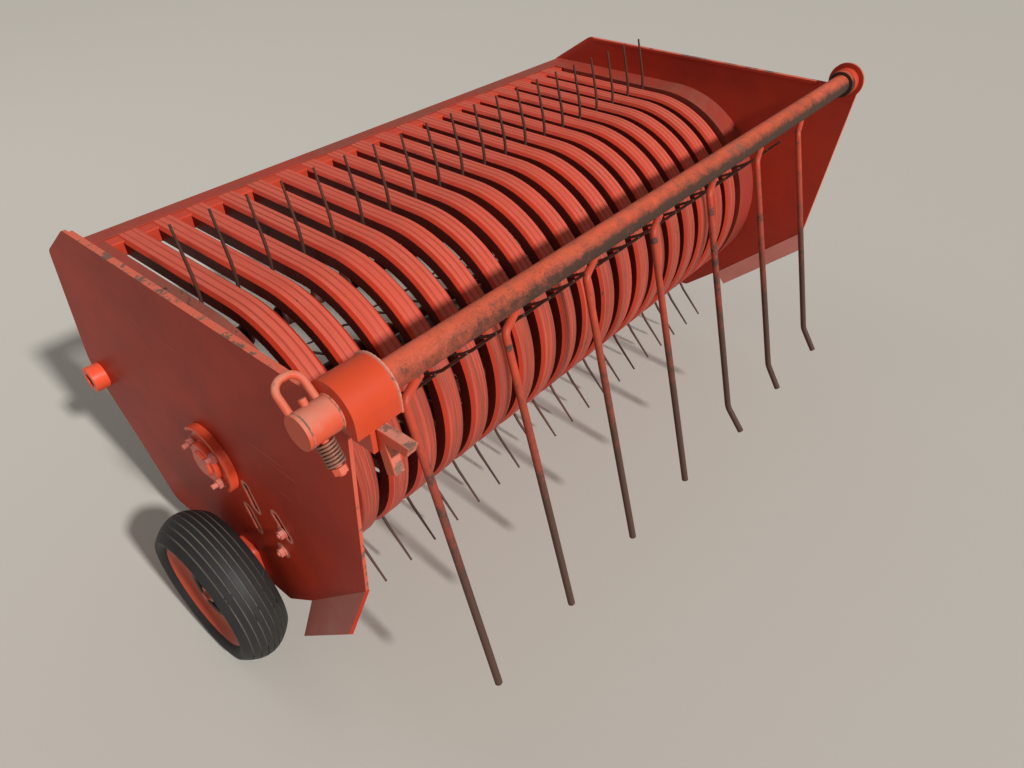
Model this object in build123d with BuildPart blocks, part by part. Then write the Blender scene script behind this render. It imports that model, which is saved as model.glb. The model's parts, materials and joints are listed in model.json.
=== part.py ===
from build123d import *
import os
from math import cos, hypot, radians, sin, sqrt

# Hay pickup header of a small square baler: a tined reel that turns inside a row of pressed stripper
# bands, two side plates, a gauge wheel on the left and a wind guard of round rods in front.
# +X runs from the left plate (gauge wheel side) to the right plate, -Y is the way it travels, +Z is up.
# The origin is in the left plate's pivot bore, at the plate's outer face. Millimetres.

os.makedirs("parts", exist_ok=True)

# Reel and stripper bands
PITCH = 70.0              # from one tine gap to the next
GAP_COUNT = 20            # tine gaps across the width, one tine of each row in each
BAND_WIDTH = 46.6         # a band nearly fills the space between two gaps
BAND_RADIUS = 268.0       # outside of the bands round the reel
BAND_SHEET = 2.5
BAND_FLANGE = 30.0        # depth of a band's bent-down sides
TIP_CLEARANCE = 8.0       # cross members stay this far outside the circle of the tine tips
PLATE = 6.0               # side plate thickness
END_ROOM = 84.0           # from the first or last gap to the side plate
SHIELD_GAP = 11.7         # from the middle of an end gap to its end shield

# The reel's axis, seen from the pivot bore
REEL_Y = -440.0
REEL_Z = 35.0

# Cross members behind the reel
BEAM = 30.0
BEAM_WALL = 4.0
BEAM_LAP = 4.0            # a band or shield ends this far short of the beam's rear face
FLANGE_GAP = 6.0          # from the end of a bent-down side to the upper beam
DECK_LENGTH = 38.0
DECK_SHEET = 3.0
DECK_SKIRT = 38.0

# Side plates: y and z of each corner from the reel's axis, its rounding radius, and whether it is on
# the front edge, which is further forward on the right plate. The last two are the lip's crease.
PLATE_TOP = 342.0
PLATE_CORNERS = (
    # y,     z,     radius, on the front edge
    (-444.0, 342.0, 14.0, True),      # front top
    (300.0, 342.0, 30.0, False),      # rear top
    (424.0, 262.0, 30.0, False),
    (502.0, -35.0, 60.0, False),      # behind the pivot
    (398.0, -199.0, 40.0, False),
    (327.0, -337.0, 30.0, False),     # rear bottom
    (-110.0, -322.0, 20.0, False),
    (-202.0, -244.0, 2.0, False),     # rear end of the crease
    (-397.0, -40.0, 2.0, True),       # front end of the crease
)
RIGHT_REACH = 26.0        # the right plate's front edge stands this much further forward
TOP_FLANGE = 6.0          # inward flange along a plate's top
TOP_FLANGE_FRONT = -370.0
TOP_FLANGE_REAR = 285.0
LIP_WIDTH = 61.0          # lip along the lower front edge, bent outwards
LIP_ANGLE = 41.0
LIP_FRONT_CUT = 62.0      # how far the lip's outer edge is cut back at its front end
LIP_REAR_REACH = 30.0     # how far it reaches past the crease at its rear end
LIP_ROOT = 3.0            # the lip starts this far inside the plate

# Slots in the left plate: y and z of the middle, tilt from upright, length
SLOT_WIDTH = 15.0
SLOTS = (
    # y,     z,     tilt,  length
    (-92.0, -44.0, -16.0, 62.0),
    (-72.0, -112.0, -18.0, 60.0),
    (-177.0, -57.0, -30.0, 58.0),
)

# Pivot bores at the rear, on which the header floats
PIVOT_BORE = 30.0
PIVOT_BOSS = 56.0
PIVOT_BOSS_LENGTH = 30.0

# Reel shaft, bearings, spiders, tine bars and drive sprocket
SHAFT = 35.0
RUNNING = 0.05            # radial clearance of a shaft in its bearing
BEARING_FLANGE = 112.0
BEARING_FLANGE_DEPTH = 9.0
BEARING_HUB = 76.0
BEARING_HUB_DEPTH = 22.0
BEARING_SEAT = 30.0       # radius of the plate's hole behind a bearing
COVER = 4.0               # wall that closes the left bearing
COVER_STEP = 50.0         # raised middle of that cover
COVER_STEP_DEPTH = 5.0
RING_OUTER = 138.0
RING_WALL = 6.0
RING_DEPTH = 16.0
RING_OPEN_SIDE = 315.0    # the ring is a half circle, open towards this angle
BAR_RADIUS = 160.0        # from the reel's axis to a tine bar
BAR = 27.0
BAR_WALL = 3.0
BAR_FIT = 0.15            # radial play of a bar in its spider
BAR_OVERHANG = 12.0       # a bar stands this far out of its end spider
SPIDER = 8.0
SPIDER_HUB = 68.0
SPIDER_HUB_LENGTH = 36.0
SPIDER_EYE = 48.0
SPIDER_ARM = 34.0
SPIDER_END_OFFSET = 44.0  # from a side plate to the end spider
SPROCKET_TEETH = 20
SPROCKET_PITCH = 25.4
SPROCKET = 8.0
SPROCKET_OFFSET = 40.0    # from the right plate to the sprocket
SHAFT_STUB = 16.0         # shaft beyond the sprocket

# Spring tines. Each wire has a coil round the bar at each of its two fingers.
WIRE = 6.0
COIL_OUTER = 42.0
COIL_LENGTH = 21.0
COIL_FIT = 0.5            # between the coil and the bar
FINGER_ROOT = 150.0       # straight part from the coil to the kink
FINGER_TIP = 100.0        # straight part from the kink to the tip
FINGER_KINK = -15.0       # turn at the kink, towards the way the reel turns
ROWS = (
    # bar angle, finger direction at the coil, both in degrees from +Y towards +Z
    (60.0, 91.0),
    (150.0, 149.0),
    (240.0, 241.0),
    (330.0, 340.0),
)

# Gauge wheel, placed from the reel's axis and the left plate
WHEEL_Y = -7.0
WHEEL_Z = -286.0
TYRE_RADIUS = 164.0
TYRE_WIDTH = 100.0
TYRE_BEAD = 110.0         # radius where the tyre meets the rim's flange
TYRE_CROWN = 26.0         # drop of the rounded tread from its middle to its edges
WHEEL_GAP = 28.0          # from the left plate to the tyre
RIM_WALL = 4.0
RIM_WELL = 84.0
RIM_WIDTH = 74.0
RIM_SLOPE = 16.0          # width of the slope from the well to a flange
RIM_DISC = 12.0           # from the rim's outer edge to its disc
RIM_DISH = 43.0           # radius of the sunk middle of the disc
RIM_DISH_DEPTH = 18.0
WHEEL_HUB = 52.0
WHEEL_HUB_LENGTH = 60.0
HUB_RECESS = 24.0         # from the rim's outer edge to the hub's end
AXLE = 25.0
AXLE_STUB = 10.0          # axle beyond the hub
ARM = 12.0
ARM_WIDTH = 64.0
ARM_TOP = 60.0            # above the axle
ARM_BOTTOM = 42.0
ARM_CORNER = 16.0

# Wind guard: a tube across the front with round rods hanging from it
GUARD_Y = -437.0
GUARD_Z = 353.0
GUARD_TUBE = 42.4
GUARD_WALL = 3.2
GUARD_PAST = 28.0         # open right end, beyond the right plate's outer face
GUARD_ROD = 12.5
ROD_PITCH = 191.2
FIRST_ROD = 83.0
ROD_KNEE_Y = -14.0        # knee, from the tube's axis
ROD_KNEE_Z = -38.0
ROD_LEG = 42.0            # short leg that lies under the tube
ROD_FORWARD = -136.0      # tip, from the knee
ROD_DROP = -515.0
ROD_BEND = 13.0           # inside radius of the knee
ROD_TOUCH = 0.15          # gap at the weld under the tube
ROD_TOE = 62.0            # bent end of the rods that have one
ROD_TOES = (0.0, 0.0, 0.0, 0.0, 24.0, 18.0, 20.0)   # its angle, one for each rod

# Saddle that carries the tube on the left plate, latch sleeve and pin
SADDLE_RADIUS = 42.0
SADDLE_WALL = 5.0
SADDLE_LEFT = -12.0
SADDLE_RIGHT = 58.0
SADDLE_SKIRT = 22.5       # straight flanks below the tube's axis
SADDLE_NOTCH = 1.0        # from a flank to the notch in the left plate
FOOT = 8.0
FOOT_HEIGHT = 34.0
SLEEVE = 47.0
SLEEVE_BORE = 24.0
SLEEVE_LENGTH = 48.0
SLEEVE_CAP = 5.0
PIN = 10.0
PIN_FIT = 0.2
PIN_TILT = 30.0           # the pin's lower end leans forward
PIN_ABOVE = 8.0           # above the sleeve
PIN_STUB = 3.0            # below the nut
HANDLE_ROD = 10.0         # bent handle on the sleeve
HANDLE_ANGLE = 45.0
HANDLE_WIDTH = 37.0
HANDLE_REACH = 62.0       # from the sleeve's axis to the middle of the bent rod
HANDLE_BEND = 16.0
SPRING = 25.0
SPRING_BORE = 12.0
SPRING_LENGTH = 34.0
NUT = 20.0
NUT_HEIGHT = 9.0
FORK = 16.0
FORK_LEFT = 16.0
FORK_PRONG = 17.0         # width of a prong
FORK_REACH = 54.0         # of the upper prong, forward of the saddle's flank
FORK_CROTCH = 10.0        # forward of the flank
FORK_SPLAY = 11.0         # the lower prong's tip is this far forward of the crotch
FORK_DROP = 66.0          # of the lower prong, below the flank
FORK_TIP = 7.0            # slant of a prong's end
BUSH = 60.0
BUSH_LENGTH = 20.0
EAR_RADIUS = 40.0
EAR_GAP = 3.0             # round the tube in the right plate
COLLAR = 58.0
COLLAR_LENGTH = 14.0
SIDE_GAP = 0.3            # between faces that turn past each other

# Worked out from the sizes above
INSIDE = 2 * END_ROOM + (GAP_COUNT - 1) * PITCH
LEFT_INNER = PLATE
RIGHT_INNER = LEFT_INNER + INSIDE
RIGHT_OUTER = RIGHT_INNER + PLATE
FIRST_GAP = LEFT_INNER + END_ROOM
GAPS = [FIRST_GAP + PITCH * i for i in range(GAP_COUNT)]
BANDS = [FIRST_GAP + PITCH * (i + 0.5) for i in range(GAP_COUNT - 1)]
BEAM_SKIN = BAND_RADIUS - BAND_SHEET
FINGER_START = COIL_OUTER / 2 - WIRE / 2
TUBE_RADIUS = GUARD_TUBE / 2


def tip_radius(bar_angle, finger_angle):
    """Distance from the reel's axis to a tine's tip."""
    kink_y = FINGER_ROOT + FINGER_TIP * cos(radians(FINGER_KINK))
    kink_z = FINGER_START + FINGER_TIP * sin(radians(FINGER_KINK))
    turn = radians(finger_angle - bar_angle)
    along = BAR_RADIUS + kink_y * cos(turn) - kink_z * sin(turn)
    return hypot(along, kink_y * sin(turn) + kink_z * cos(turn))


TIP_CIRCLE = max(tip_radius(*row) for row in ROWS)
BEAM_CIRCLE = TIP_CIRCLE + TIP_CLEARANCE
UPPER_FRONT = sqrt(BEAM_CIRCLE**2 - (BEAM_SKIN - BEAM) ** 2)   # front faces of the two beams
LOWER_FRONT = sqrt(BEAM_CIRCLE**2 - BAND_RADIUS**2)
UPPER_REACH = UPPER_FRONT + BEAM - BEAM_LAP
LOWER_REACH = LOWER_FRONT + BEAM - BEAM_LAP


def across(x):
    """Upright plane across the header at x, centred on the reel's axis: local x is +Y, local y is +Z."""
    return Plane(origin=(x, REEL_Y, REEL_Z), x_dir=(0, 1, 0), z_dir=(1, 0, 0))


def across_at(x, y, z):
    """The same plane, centred on a point given from the reel's axis."""
    return Plane(origin=(x, REEL_Y + y, REEL_Z + z), x_dir=(0, 1, 0), z_dir=(1, 0, 0))


def u_ribbon(depth, upper_reach):
    """Face of a ribbon bent round the reel's front: a half circle and two straight legs to the rear."""
    outer = BAND_RADIUS
    inner = outer - depth
    with BuildSketch() as ribbon:
        with BuildLine():
            Line((upper_reach, outer), (0, outer))
            CenterArc((0, 0), outer, 90, 180)
            Line((0, -outer), (LOWER_REACH, -outer))
            Line((LOWER_REACH, -outer), (LOWER_REACH, -inner))
            Line((LOWER_REACH, -inner), (0, -inner))
            CenterArc((0, 0), inner, 90, 180)
            Line((0, inner), (upper_reach, inner))
            Line((upper_reach, inner), (upper_reach, outer))
        make_face()
    return ribbon.sketch


def keep(piece, name):
    """Label a finished piece and write its STEP file."""
    piece.part.label = name
    export_step(piece.part, f"parts/{name}.step")


# Stripper bands: pressed channels, open to the rear, fixed to the beams by their ends
with BuildPart() as band:
    with BuildSketch(across(-BAND_WIDTH / 2)):
        add(u_ribbon(BAND_SHEET, UPPER_REACH))
    extrude(amount=BAND_WIDTH)
    for side in (-BAND_WIDTH / 2, BAND_WIDTH / 2 - BAND_SHEET):
        with BuildSketch(across(side)):
            add(u_ribbon(BAND_FLANGE, UPPER_FRONT - FLANGE_GAP))
        extrude(amount=BAND_SHEET)

with BuildPart() as stripper_bands:
    with Locations(*[(x, 0, 0) for x in BANDS]):
        add(band.part)
keep(stripper_bands, "stripper_bands")


# End shields: wide bands that close the space between the end gaps and the side plates
def end_shield(left_x, right_x):
    with BuildPart() as shield:
        with BuildSketch(across(left_x)):
            add(u_ribbon(BAND_SHEET, UPPER_REACH))
        extrude(amount=right_x - left_x)
        free_side = right_x - BAND_SHEET if left_x == LEFT_INNER else left_x
        with BuildSketch(across(free_side)):
            add(u_ribbon(BAND_FLANGE, UPPER_FRONT - FLANGE_GAP))
        extrude(amount=BAND_SHEET)
    return shield


keep(end_shield(LEFT_INNER, GAPS[0] - SHIELD_GAP), "left_end_shield")
keep(end_shield(GAPS[-1] + SHIELD_GAP, RIGHT_INNER), "right_end_shield")


# Side plates, with a folded top flange and a lip bent outwards along the lower front edge
def plate_corners(reach):
    """Corners of a plate whose front edge is moved forward by reach."""
    return [(y - reach if on_front else y, z, radius) for y, z, radius, on_front in PLATE_CORNERS]


def plate_outline(rows):
    with BuildSketch() as outline:
        with BuildLine():
            FilletPolyline(*[(y, z) for y, z, _ in rows], radius=[r for _, _, r in rows], close=True)
        make_face()
    return outline.sketch


def front_lip(rows, outer_x, outward):
    rear, front = [Vector(outer_x, REEL_Y + y, REEL_Z + z) for y, z, _ in rows[-2:]]
    along = (front - rear).normalized()
    length = (front - rear).length
    down = Vector(0, along.Z, -along.Y)
    if down.Z > 0:
        down = down * -1
    slope = down * cos(radians(LIP_ANGLE)) + Vector(outward, 0, 0) * sin(radians(LIP_ANGLE))
    lip_plane = Plane(origin=rear, x_dir=along, z_dir=along.cross(slope))
    inward = -1 if (lip_plane.z_dir.X * outward) > 0 else 1
    with BuildPart() as lip:
        with BuildSketch(lip_plane):
            with BuildLine():
                Polyline(
                    (0, -LIP_ROOT),
                    (length, -LIP_ROOT),
                    (length - LIP_FRONT_CUT, LIP_WIDTH),
                    (-LIP_REAR_REACH, LIP_WIDTH),
                    close=True,
                )
            make_face()
        extrude(amount=inward * PLATE)
    return lip.part


left_rows = plate_corners(0.0)
left_outline = plate_outline(left_rows)
left_lip = front_lip(left_rows, 0.0, -1)
with BuildPart() as left_side_plate:
    with BuildSketch(across(0)):
        add(left_outline)
        with Locations((GUARD_Y, PLATE_TOP)):
            Rectangle(
                2 * (SADDLE_RADIUS + SADDLE_NOTCH),
                2 * (PLATE_TOP - GUARD_Z + SADDLE_SKIRT),
                mode=Mode.SUBTRACT,
            )
        Circle(BEARING_SEAT, mode=Mode.SUBTRACT)
        with Locations((-REEL_Y, -REEL_Z)):
            Circle(PIVOT_BORE / 2, mode=Mode.SUBTRACT)
        for slot_y, slot_z, tilt, slot_length in SLOTS:
            with Locations((slot_y, slot_z)):
                SlotOverall(slot_length, SLOT_WIDTH, rotation=90 + tilt, mode=Mode.SUBTRACT)
    extrude(amount=PLATE)
    with BuildSketch(across(PLATE)):
        with Locations(((TOP_FLANGE_FRONT + TOP_FLANGE_REAR) / 2, PLATE_TOP - PLATE / 2)):
            Rectangle(TOP_FLANGE_REAR - TOP_FLANGE_FRONT, PLATE)
    extrude(amount=TOP_FLANGE)
    add(left_lip)
keep(left_side_plate, "left_side_plate")

right_rows = plate_corners(RIGHT_REACH)
right_outline = plate_outline(right_rows)
right_lip = front_lip(right_rows, RIGHT_OUTER, 1)
with BuildPart() as right_side_plate:
    with BuildSketch(across(RIGHT_INNER)):
        add(right_outline)
        with Locations((GUARD_Y, GUARD_Z)):
            Circle(EAR_RADIUS)
            Circle(TUBE_RADIUS + EAR_GAP, mode=Mode.SUBTRACT)
        Circle(BEARING_SEAT, mode=Mode.SUBTRACT)
        with Locations((-REEL_Y, -REEL_Z)):
            Circle(PIVOT_BORE / 2, mode=Mode.SUBTRACT)
    extrude(amount=PLATE)
    with BuildSketch(across(RIGHT_INNER - TOP_FLANGE)):
        with Locations(((TOP_FLANGE_FRONT + TOP_FLANGE_REAR) / 2, PLATE_TOP - PLATE / 2)):
            Rectangle(TOP_FLANGE_REAR - TOP_FLANGE_FRONT, PLATE)
    extrude(amount=TOP_FLANGE)
    add(right_lip)
keep(right_side_plate, "right_side_plate")

# Square beams between the plates, outside the circle of the tine tips. The bands' upper legs lie on
# top of one, and their lower legs on top of the other.
for beam_name, beam_front, beam_top in (
    ("upper_rear_beam", UPPER_FRONT, BEAM_SKIN),
    ("lower_rear_beam", LOWER_FRONT, -BAND_RADIUS),
):
    with BuildPart() as beam:
        with BuildSketch(across_at(LEFT_INNER, beam_front + BEAM / 2, beam_top - BEAM / 2)):
            Rectangle(BEAM, BEAM)
            Rectangle(BEAM - 2 * BEAM_WALL, BEAM - 2 * BEAM_WALL, mode=Mode.SUBTRACT)
        extrude(amount=INSIDE)
    keep(beam, beam_name)

# Folded deck sheet that carries on behind the bands
with BuildPart() as rear_deck:
    deck_y = UPPER_FRONT + BEAM
    with BuildSketch(across(LEFT_INNER)):
        with BuildLine():
            Polyline(
                (deck_y, BAND_RADIUS - DECK_SKIRT),
                (deck_y, BAND_RADIUS),
                (deck_y + DECK_LENGTH, BAND_RADIUS),
                (deck_y + DECK_LENGTH, BAND_RADIUS - DECK_SKIRT / 2),
                (deck_y + DECK_LENGTH - DECK_SHEET, BAND_RADIUS - DECK_SKIRT / 2),
                (deck_y + DECK_LENGTH - DECK_SHEET, BAND_RADIUS - DECK_SHEET),
                (deck_y + DECK_SHEET, BAND_RADIUS - DECK_SHEET),
                (deck_y + DECK_SHEET, BAND_RADIUS - DECK_SKIRT),
                close=True,
            )
        make_face()
    extrude(amount=INSIDE)
keep(rear_deck, "rear_deck")

# Pivot bosses on the plates' outer faces
for boss_name, boss_x in (("left_pivot_boss", -PIVOT_BOSS_LENGTH), ("right_pivot_boss", RIGHT_OUTER)):
    with BuildPart() as boss:
        with BuildSketch(Plane.YZ.offset(boss_x)):
            Circle(PIVOT_BOSS / 2)
            Circle(PIVOT_BORE / 2, mode=Mode.SUBTRACT)
        extrude(amount=PIVOT_BOSS_LENGTH)
    keep(boss, boss_name)

# Flanged reel bearings on the plates' outer faces: the left one is closed by a stepped cover
with BuildPart() as left_bearing:
    with BuildSketch(across(0)):
        Circle(BEARING_FLANGE / 2)
    extrude(amount=-BEARING_FLANGE_DEPTH)
    with BuildSketch(across(0)):
        Circle(BEARING_HUB / 2)
    extrude(amount=-BEARING_HUB_DEPTH)
    with BuildSketch(across(-BEARING_HUB_DEPTH)):
        Circle(COVER_STEP / 2)
    extrude(amount=-COVER_STEP_DEPTH)
    with BuildSketch(across(0)):
        Circle(SHAFT / 2 + RUNNING)
    extrude(amount=-(BEARING_HUB_DEPTH - COVER), mode=Mode.SUBTRACT)
keep(left_bearing, "left_bearing")

with BuildPart() as right_bearing:
    with BuildSketch(across(RIGHT_OUTER)):
        Circle(BEARING_FLANGE / 2)
    extrude(amount=BEARING_FLANGE_DEPTH)
    with BuildSketch(across(RIGHT_OUTER)):
        Circle(BEARING_HUB / 2)
    extrude(amount=BEARING_HUB_DEPTH)
    with BuildSketch(across(RIGHT_OUTER)):
        Circle(SHAFT / 2 + RUNNING)
    extrude(amount=BEARING_HUB_DEPTH, mode=Mode.SUBTRACT)
keep(right_bearing, "right_bearing")

# Guard strip bent round the front of the left bearing
with BuildPart() as left_bearing_ring:
    with BuildSketch(across(-RING_DEPTH)):
        Circle(RING_OUTER / 2)
        Circle(RING_OUTER / 2 - RING_WALL, mode=Mode.SUBTRACT)
        with PolarLocations(RING_OUTER / 2, 1, start_angle=RING_OPEN_SIDE):
            Rectangle(RING_OUTER, 2 * RING_OUTER, mode=Mode.SUBTRACT)
    extrude(amount=RING_DEPTH)
keep(left_bearing_ring, "left_bearing_ring")

# Reel shaft, from inside the left bearing's cover to the drive sprocket outside the right plate
SHAFT_LEFT = -(BEARING_HUB_DEPTH - COVER - SIDE_GAP)
SHAFT_RIGHT = RIGHT_OUTER + SPROCKET_OFFSET + SPROCKET + SHAFT_STUB
with BuildPart() as reel_shaft:
    with BuildSketch(across(SHAFT_LEFT)):
        Circle(SHAFT / 2)
    extrude(amount=SHAFT_RIGHT - SHAFT_LEFT)
keep(reel_shaft, "reel_shaft")

# Spiders: a hub with four arms, each ending in an eye for a tine bar
SPIDER_PLACES = (
    ("left_reel_spider", LEFT_INNER + SPIDER_END_OFFSET),
    ("middle_reel_spider", BANDS[GAP_COUNT // 2 - 1] - SPIDER / 2),
    ("right_reel_spider", RIGHT_INNER - SPIDER_END_OFFSET - SPIDER),
)
for spider_name, spider_x in SPIDER_PLACES:
    with BuildPart() as spider:
        with BuildSketch(across(spider_x)):
            Circle(SPIDER_HUB / 2)
            for bar_angle, _ in ROWS:
                with PolarLocations(BAR_RADIUS / 2, 1, start_angle=bar_angle):
                    Rectangle(BAR_RADIUS, SPIDER_ARM)
                with PolarLocations(BAR_RADIUS, 1, start_angle=bar_angle):
                    Circle(SPIDER_EYE / 2)
        extrude(amount=SPIDER)
        with BuildSketch(across(spider_x + SPIDER / 2 - SPIDER_HUB_LENGTH / 2)):
            Circle(SPIDER_HUB / 2)
        extrude(amount=SPIDER_HUB_LENGTH)
        with BuildSketch(across(spider_x + SPIDER / 2 - SPIDER_HUB_LENGTH / 2)):
            Circle(SHAFT / 2)
            for bar_angle, _ in ROWS:
                with PolarLocations(BAR_RADIUS, 1, start_angle=bar_angle):
                    Circle(BAR / 2 + BAR_FIT)
        extrude(amount=SPIDER_HUB_LENGTH, mode=Mode.SUBTRACT)
    keep(spider, spider_name)

# Tine bars: four tubes held in the spiders' eyes
BAR_LEFT = SPIDER_PLACES[0][1] - BAR_OVERHANG
BAR_RIGHT = SPIDER_PLACES[2][1] + SPIDER + BAR_OVERHANG
with BuildPart() as tine_bars:
    with BuildSketch(across(BAR_LEFT)):
        for bar_angle, _ in ROWS:
            with PolarLocations(BAR_RADIUS, 1, start_angle=bar_angle):
                Circle(BAR / 2)
                Circle(BAR / 2 - BAR_WALL, mode=Mode.SUBTRACT)
    extrude(amount=BAR_RIGHT - BAR_LEFT)
keep(tine_bars, "tine_bars")

# Double spring tines: two coils on the bar, a bridge between them and a kinked finger from each coil
COIL_SIDES = 8
WIRE_SIDES = 6
COIL_CORNER = BAR / 2 / cos(radians(180 / COIL_SIDES)) + COIL_FIT
COIL_INNER_END = COIL_LENGTH - WIRE / 2     # a coil runs from its finger towards the other finger
BRIDGE_LAP = 0.5
with BuildPart() as double_tine:
    for finger_x, coil_x in ((0.0, -WIRE / 2), (PITCH, PITCH - COIL_INNER_END)):
        with BuildSketch(Plane.YZ.offset(coil_x)):
            RegularPolygon(COIL_OUTER / 2, COIL_SIDES)
            RegularPolygon(COIL_CORNER, COIL_SIDES, mode=Mode.SUBTRACT)
        extrude(amount=COIL_LENGTH)
        root = Vector(finger_x, 0, FINGER_START)
        kink = root + Vector(0, FINGER_ROOT, 0)
        toe = Vector(0, cos(radians(FINGER_KINK)), sin(radians(FINGER_KINK))) * FINGER_TIP
        with BuildLine() as finger_line:
            Polyline(root, kink, kink + toe)
        with BuildSketch(Plane(origin=root, x_dir=(1, 0, 0), z_dir=(0, 1, 0))):
            RegularPolygon(WIRE / 2, WIRE_SIDES)
        sweep(path=finger_line.line, transition=Transition.RIGHT)
    with Locations((PITCH / 2, -FINGER_START, 0)):
        Box(PITCH - 2 * COIL_INNER_END + 2 * BRIDGE_LAP, WIRE - 1.0, WIRE)

for row_number, (bar_angle, finger_angle) in enumerate(ROWS, start=1):
    bar_y = REEL_Y + BAR_RADIUS * cos(radians(bar_angle))
    bar_z = REEL_Z + BAR_RADIUS * sin(radians(bar_angle))
    with BuildPart() as tine_row:
        with Locations(*[Location((x, bar_y, bar_z), (finger_angle, 0, 0)) for x in GAPS[::2]]):
            add(double_tine.part)
    keep(tine_row, f"spring_tines_row_{row_number}")

# Drive sprocket at the shaft's right end
SPROCKET_RADIUS = SPROCKET_PITCH / 2 / sin(radians(180 / SPROCKET_TEETH))
with BuildPart() as reel_sprocket:
    with BuildSketch(across(RIGHT_OUTER + SPROCKET_OFFSET)):
        Circle(SPROCKET_RADIUS - SPROCKET_PITCH * 0.3)
        with PolarLocations(SPROCKET_RADIUS - SPROCKET_PITCH * 0.1, SPROCKET_TEETH):
            Trapezoid(
                SPROCKET_PITCH * 0.62, SPROCKET_PITCH * 0.55, 68, rotation=-90
            )
        Circle(SHAFT / 2, mode=Mode.SUBTRACT)
    extrude(amount=SPROCKET)
    with BuildSketch(across(RIGHT_OUTER + BEARING_HUB_DEPTH + 1.0)):
        Circle(SPIDER_HUB / 2)
        Circle(SHAFT / 2, mode=Mode.SUBTRACT)
    extrude(amount=SPROCKET_OFFSET - BEARING_HUB_DEPTH)
keep(reel_sprocket, "reel_sprocket")

# Gauge wheel: arm bolted to the left plate, axle, hub, pressed rim and ribbed tyre
TYRE_RIGHT = -WHEEL_GAP
TYRE_LEFT = TYRE_RIGHT - TYRE_WIDTH
WHEEL_MIDDLE = (TYRE_LEFT + TYRE_RIGHT) / 2
with BuildPart() as wheel_arm:
    with BuildSketch(across_at(-ARM, WHEEL_Y, WHEEL_Z)):
        with Locations((0, (ARM_TOP - ARM_BOTTOM) / 2)):
            RectangleRounded(ARM_WIDTH, ARM_TOP + ARM_BOTTOM, ARM_CORNER)
    extrude(amount=ARM)
keep(wheel_arm, "wheel_arm")

HALF_RIM = RIM_WIDTH / 2
HALF_TYRE = TYRE_WIDTH / 2
HUB_LEFT = WHEEL_MIDDLE - HALF_RIM + HUB_RECESS
with BuildPart() as wheel_axle:
    with BuildSketch(across_at(HUB_LEFT - AXLE_STUB, WHEEL_Y, WHEEL_Z)):
        Circle(AXLE / 2)
    extrude(amount=-ARM - HUB_LEFT + AXLE_STUB)
keep(wheel_axle, "wheel_axle")

with BuildPart() as wheel_hub:
    with BuildSketch(across_at(HUB_LEFT, WHEEL_Y, WHEEL_Z)):
        Circle(WHEEL_HUB / 2)
        Circle(AXLE / 2 + RUNNING, mode=Mode.SUBTRACT)
    extrude(amount=WHEEL_HUB_LENGTH)
keep(wheel_hub, "wheel_hub")

# The wheel's sections are drawn on a plane whose local x runs along the axle and local y outwards
WHEEL_SECTION = Plane(
    origin=(WHEEL_MIDDLE, REEL_Y + WHEEL_Y, REEL_Z + WHEEL_Z), x_dir=(1, 0, 0), z_dir=(0, -1, 0)
)
WHEEL_AXIS = Axis((WHEEL_MIDDLE, REEL_Y + WHEEL_Y, REEL_Z + WHEEL_Z), (1, 0, 0))
FLANGE_TOP = TYRE_BEAD + 3.0
FLANGE_ROOT = RIM_WELL + 10.0
DISC_OUTER = -HALF_RIM + RIM_DISC
DISC_INNER = DISC_OUTER + RIM_WALL
with BuildPart() as wheel_rim:
    with BuildSketch(WHEEL_SECTION):
        with BuildLine():
            Polyline(
                (-HALF_RIM, FLANGE_TOP),
                (-HALF_RIM, FLANGE_ROOT),
                (DISC_OUTER, RIM_WELL),
                (DISC_OUTER, RIM_DISH),
                (DISC_OUTER + RIM_DISH_DEPTH, RIM_DISH - RIM_WALL),
                (DISC_OUTER + RIM_DISH_DEPTH, WHEEL_HUB / 2),
                (DISC_INNER + RIM_DISH_DEPTH, WHEEL_HUB / 2),
                (DISC_INNER + RIM_DISH_DEPTH, RIM_DISH),
                (DISC_INNER, RIM_DISH + RIM_WALL),
                (DISC_INNER, RIM_WELL),
                (HALF_RIM - RIM_SLOPE, RIM_WELL),
                (HALF_RIM, FLANGE_ROOT),
                (HALF_RIM, FLANGE_TOP),
                (HALF_RIM - RIM_WALL, FLANGE_TOP),
                (HALF_RIM - RIM_WALL, FLANGE_ROOT + RIM_WALL),
                (HALF_RIM - RIM_SLOPE, RIM_WELL + RIM_WALL),
                (-HALF_RIM + RIM_SLOPE, RIM_WELL + RIM_WALL),
                (-HALF_RIM + RIM_WALL, FLANGE_ROOT + RIM_WALL),
                (-HALF_RIM + RIM_WALL, FLANGE_TOP),
                close=True,
            )
        make_face()
    revolve(axis=WHEEL_AXIS)
keep(wheel_rim, "wheel_rim")

# The tread is a flat curve across the tyre, highest in the middle
CROWN = [
    (HALF_TYRE * share, TYRE_RADIUS - TYRE_CROWN * share**2)
    for share in (-1.0, -0.75, -0.4, 0.0, 0.4, 0.75, 1.0)
]
BEAD_X = HALF_RIM - RIM_WALL - SIDE_GAP
BEAD_ROOT = TYRE_BEAD - 8.0
BEAD_TOP = TYRE_BEAD + 4.0
# The sidewall bulges out to its full width a third of the way from the bead to the shoulder
SIDEWALL_ROOT = BEAD_TOP + (TYRE_RADIUS - TYRE_CROWN - BEAD_TOP) / 3
with BuildPart() as wheel_tyre:
    with BuildSketch(WHEEL_SECTION):
        with BuildLine():
            Polyline(
                (-BEAD_X, BEAD_ROOT),
                (-BEAD_X, BEAD_TOP),
                (-HALF_TYRE, SIDEWALL_ROOT),
                *CROWN,
                (HALF_TYRE, SIDEWALL_ROOT),
                (BEAD_X, BEAD_TOP),
                (BEAD_X, BEAD_ROOT),
                close=True,
            )
        make_face()
    revolve(axis=WHEEL_AXIS)
keep(wheel_tyre, "wheel_tyre")

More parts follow.
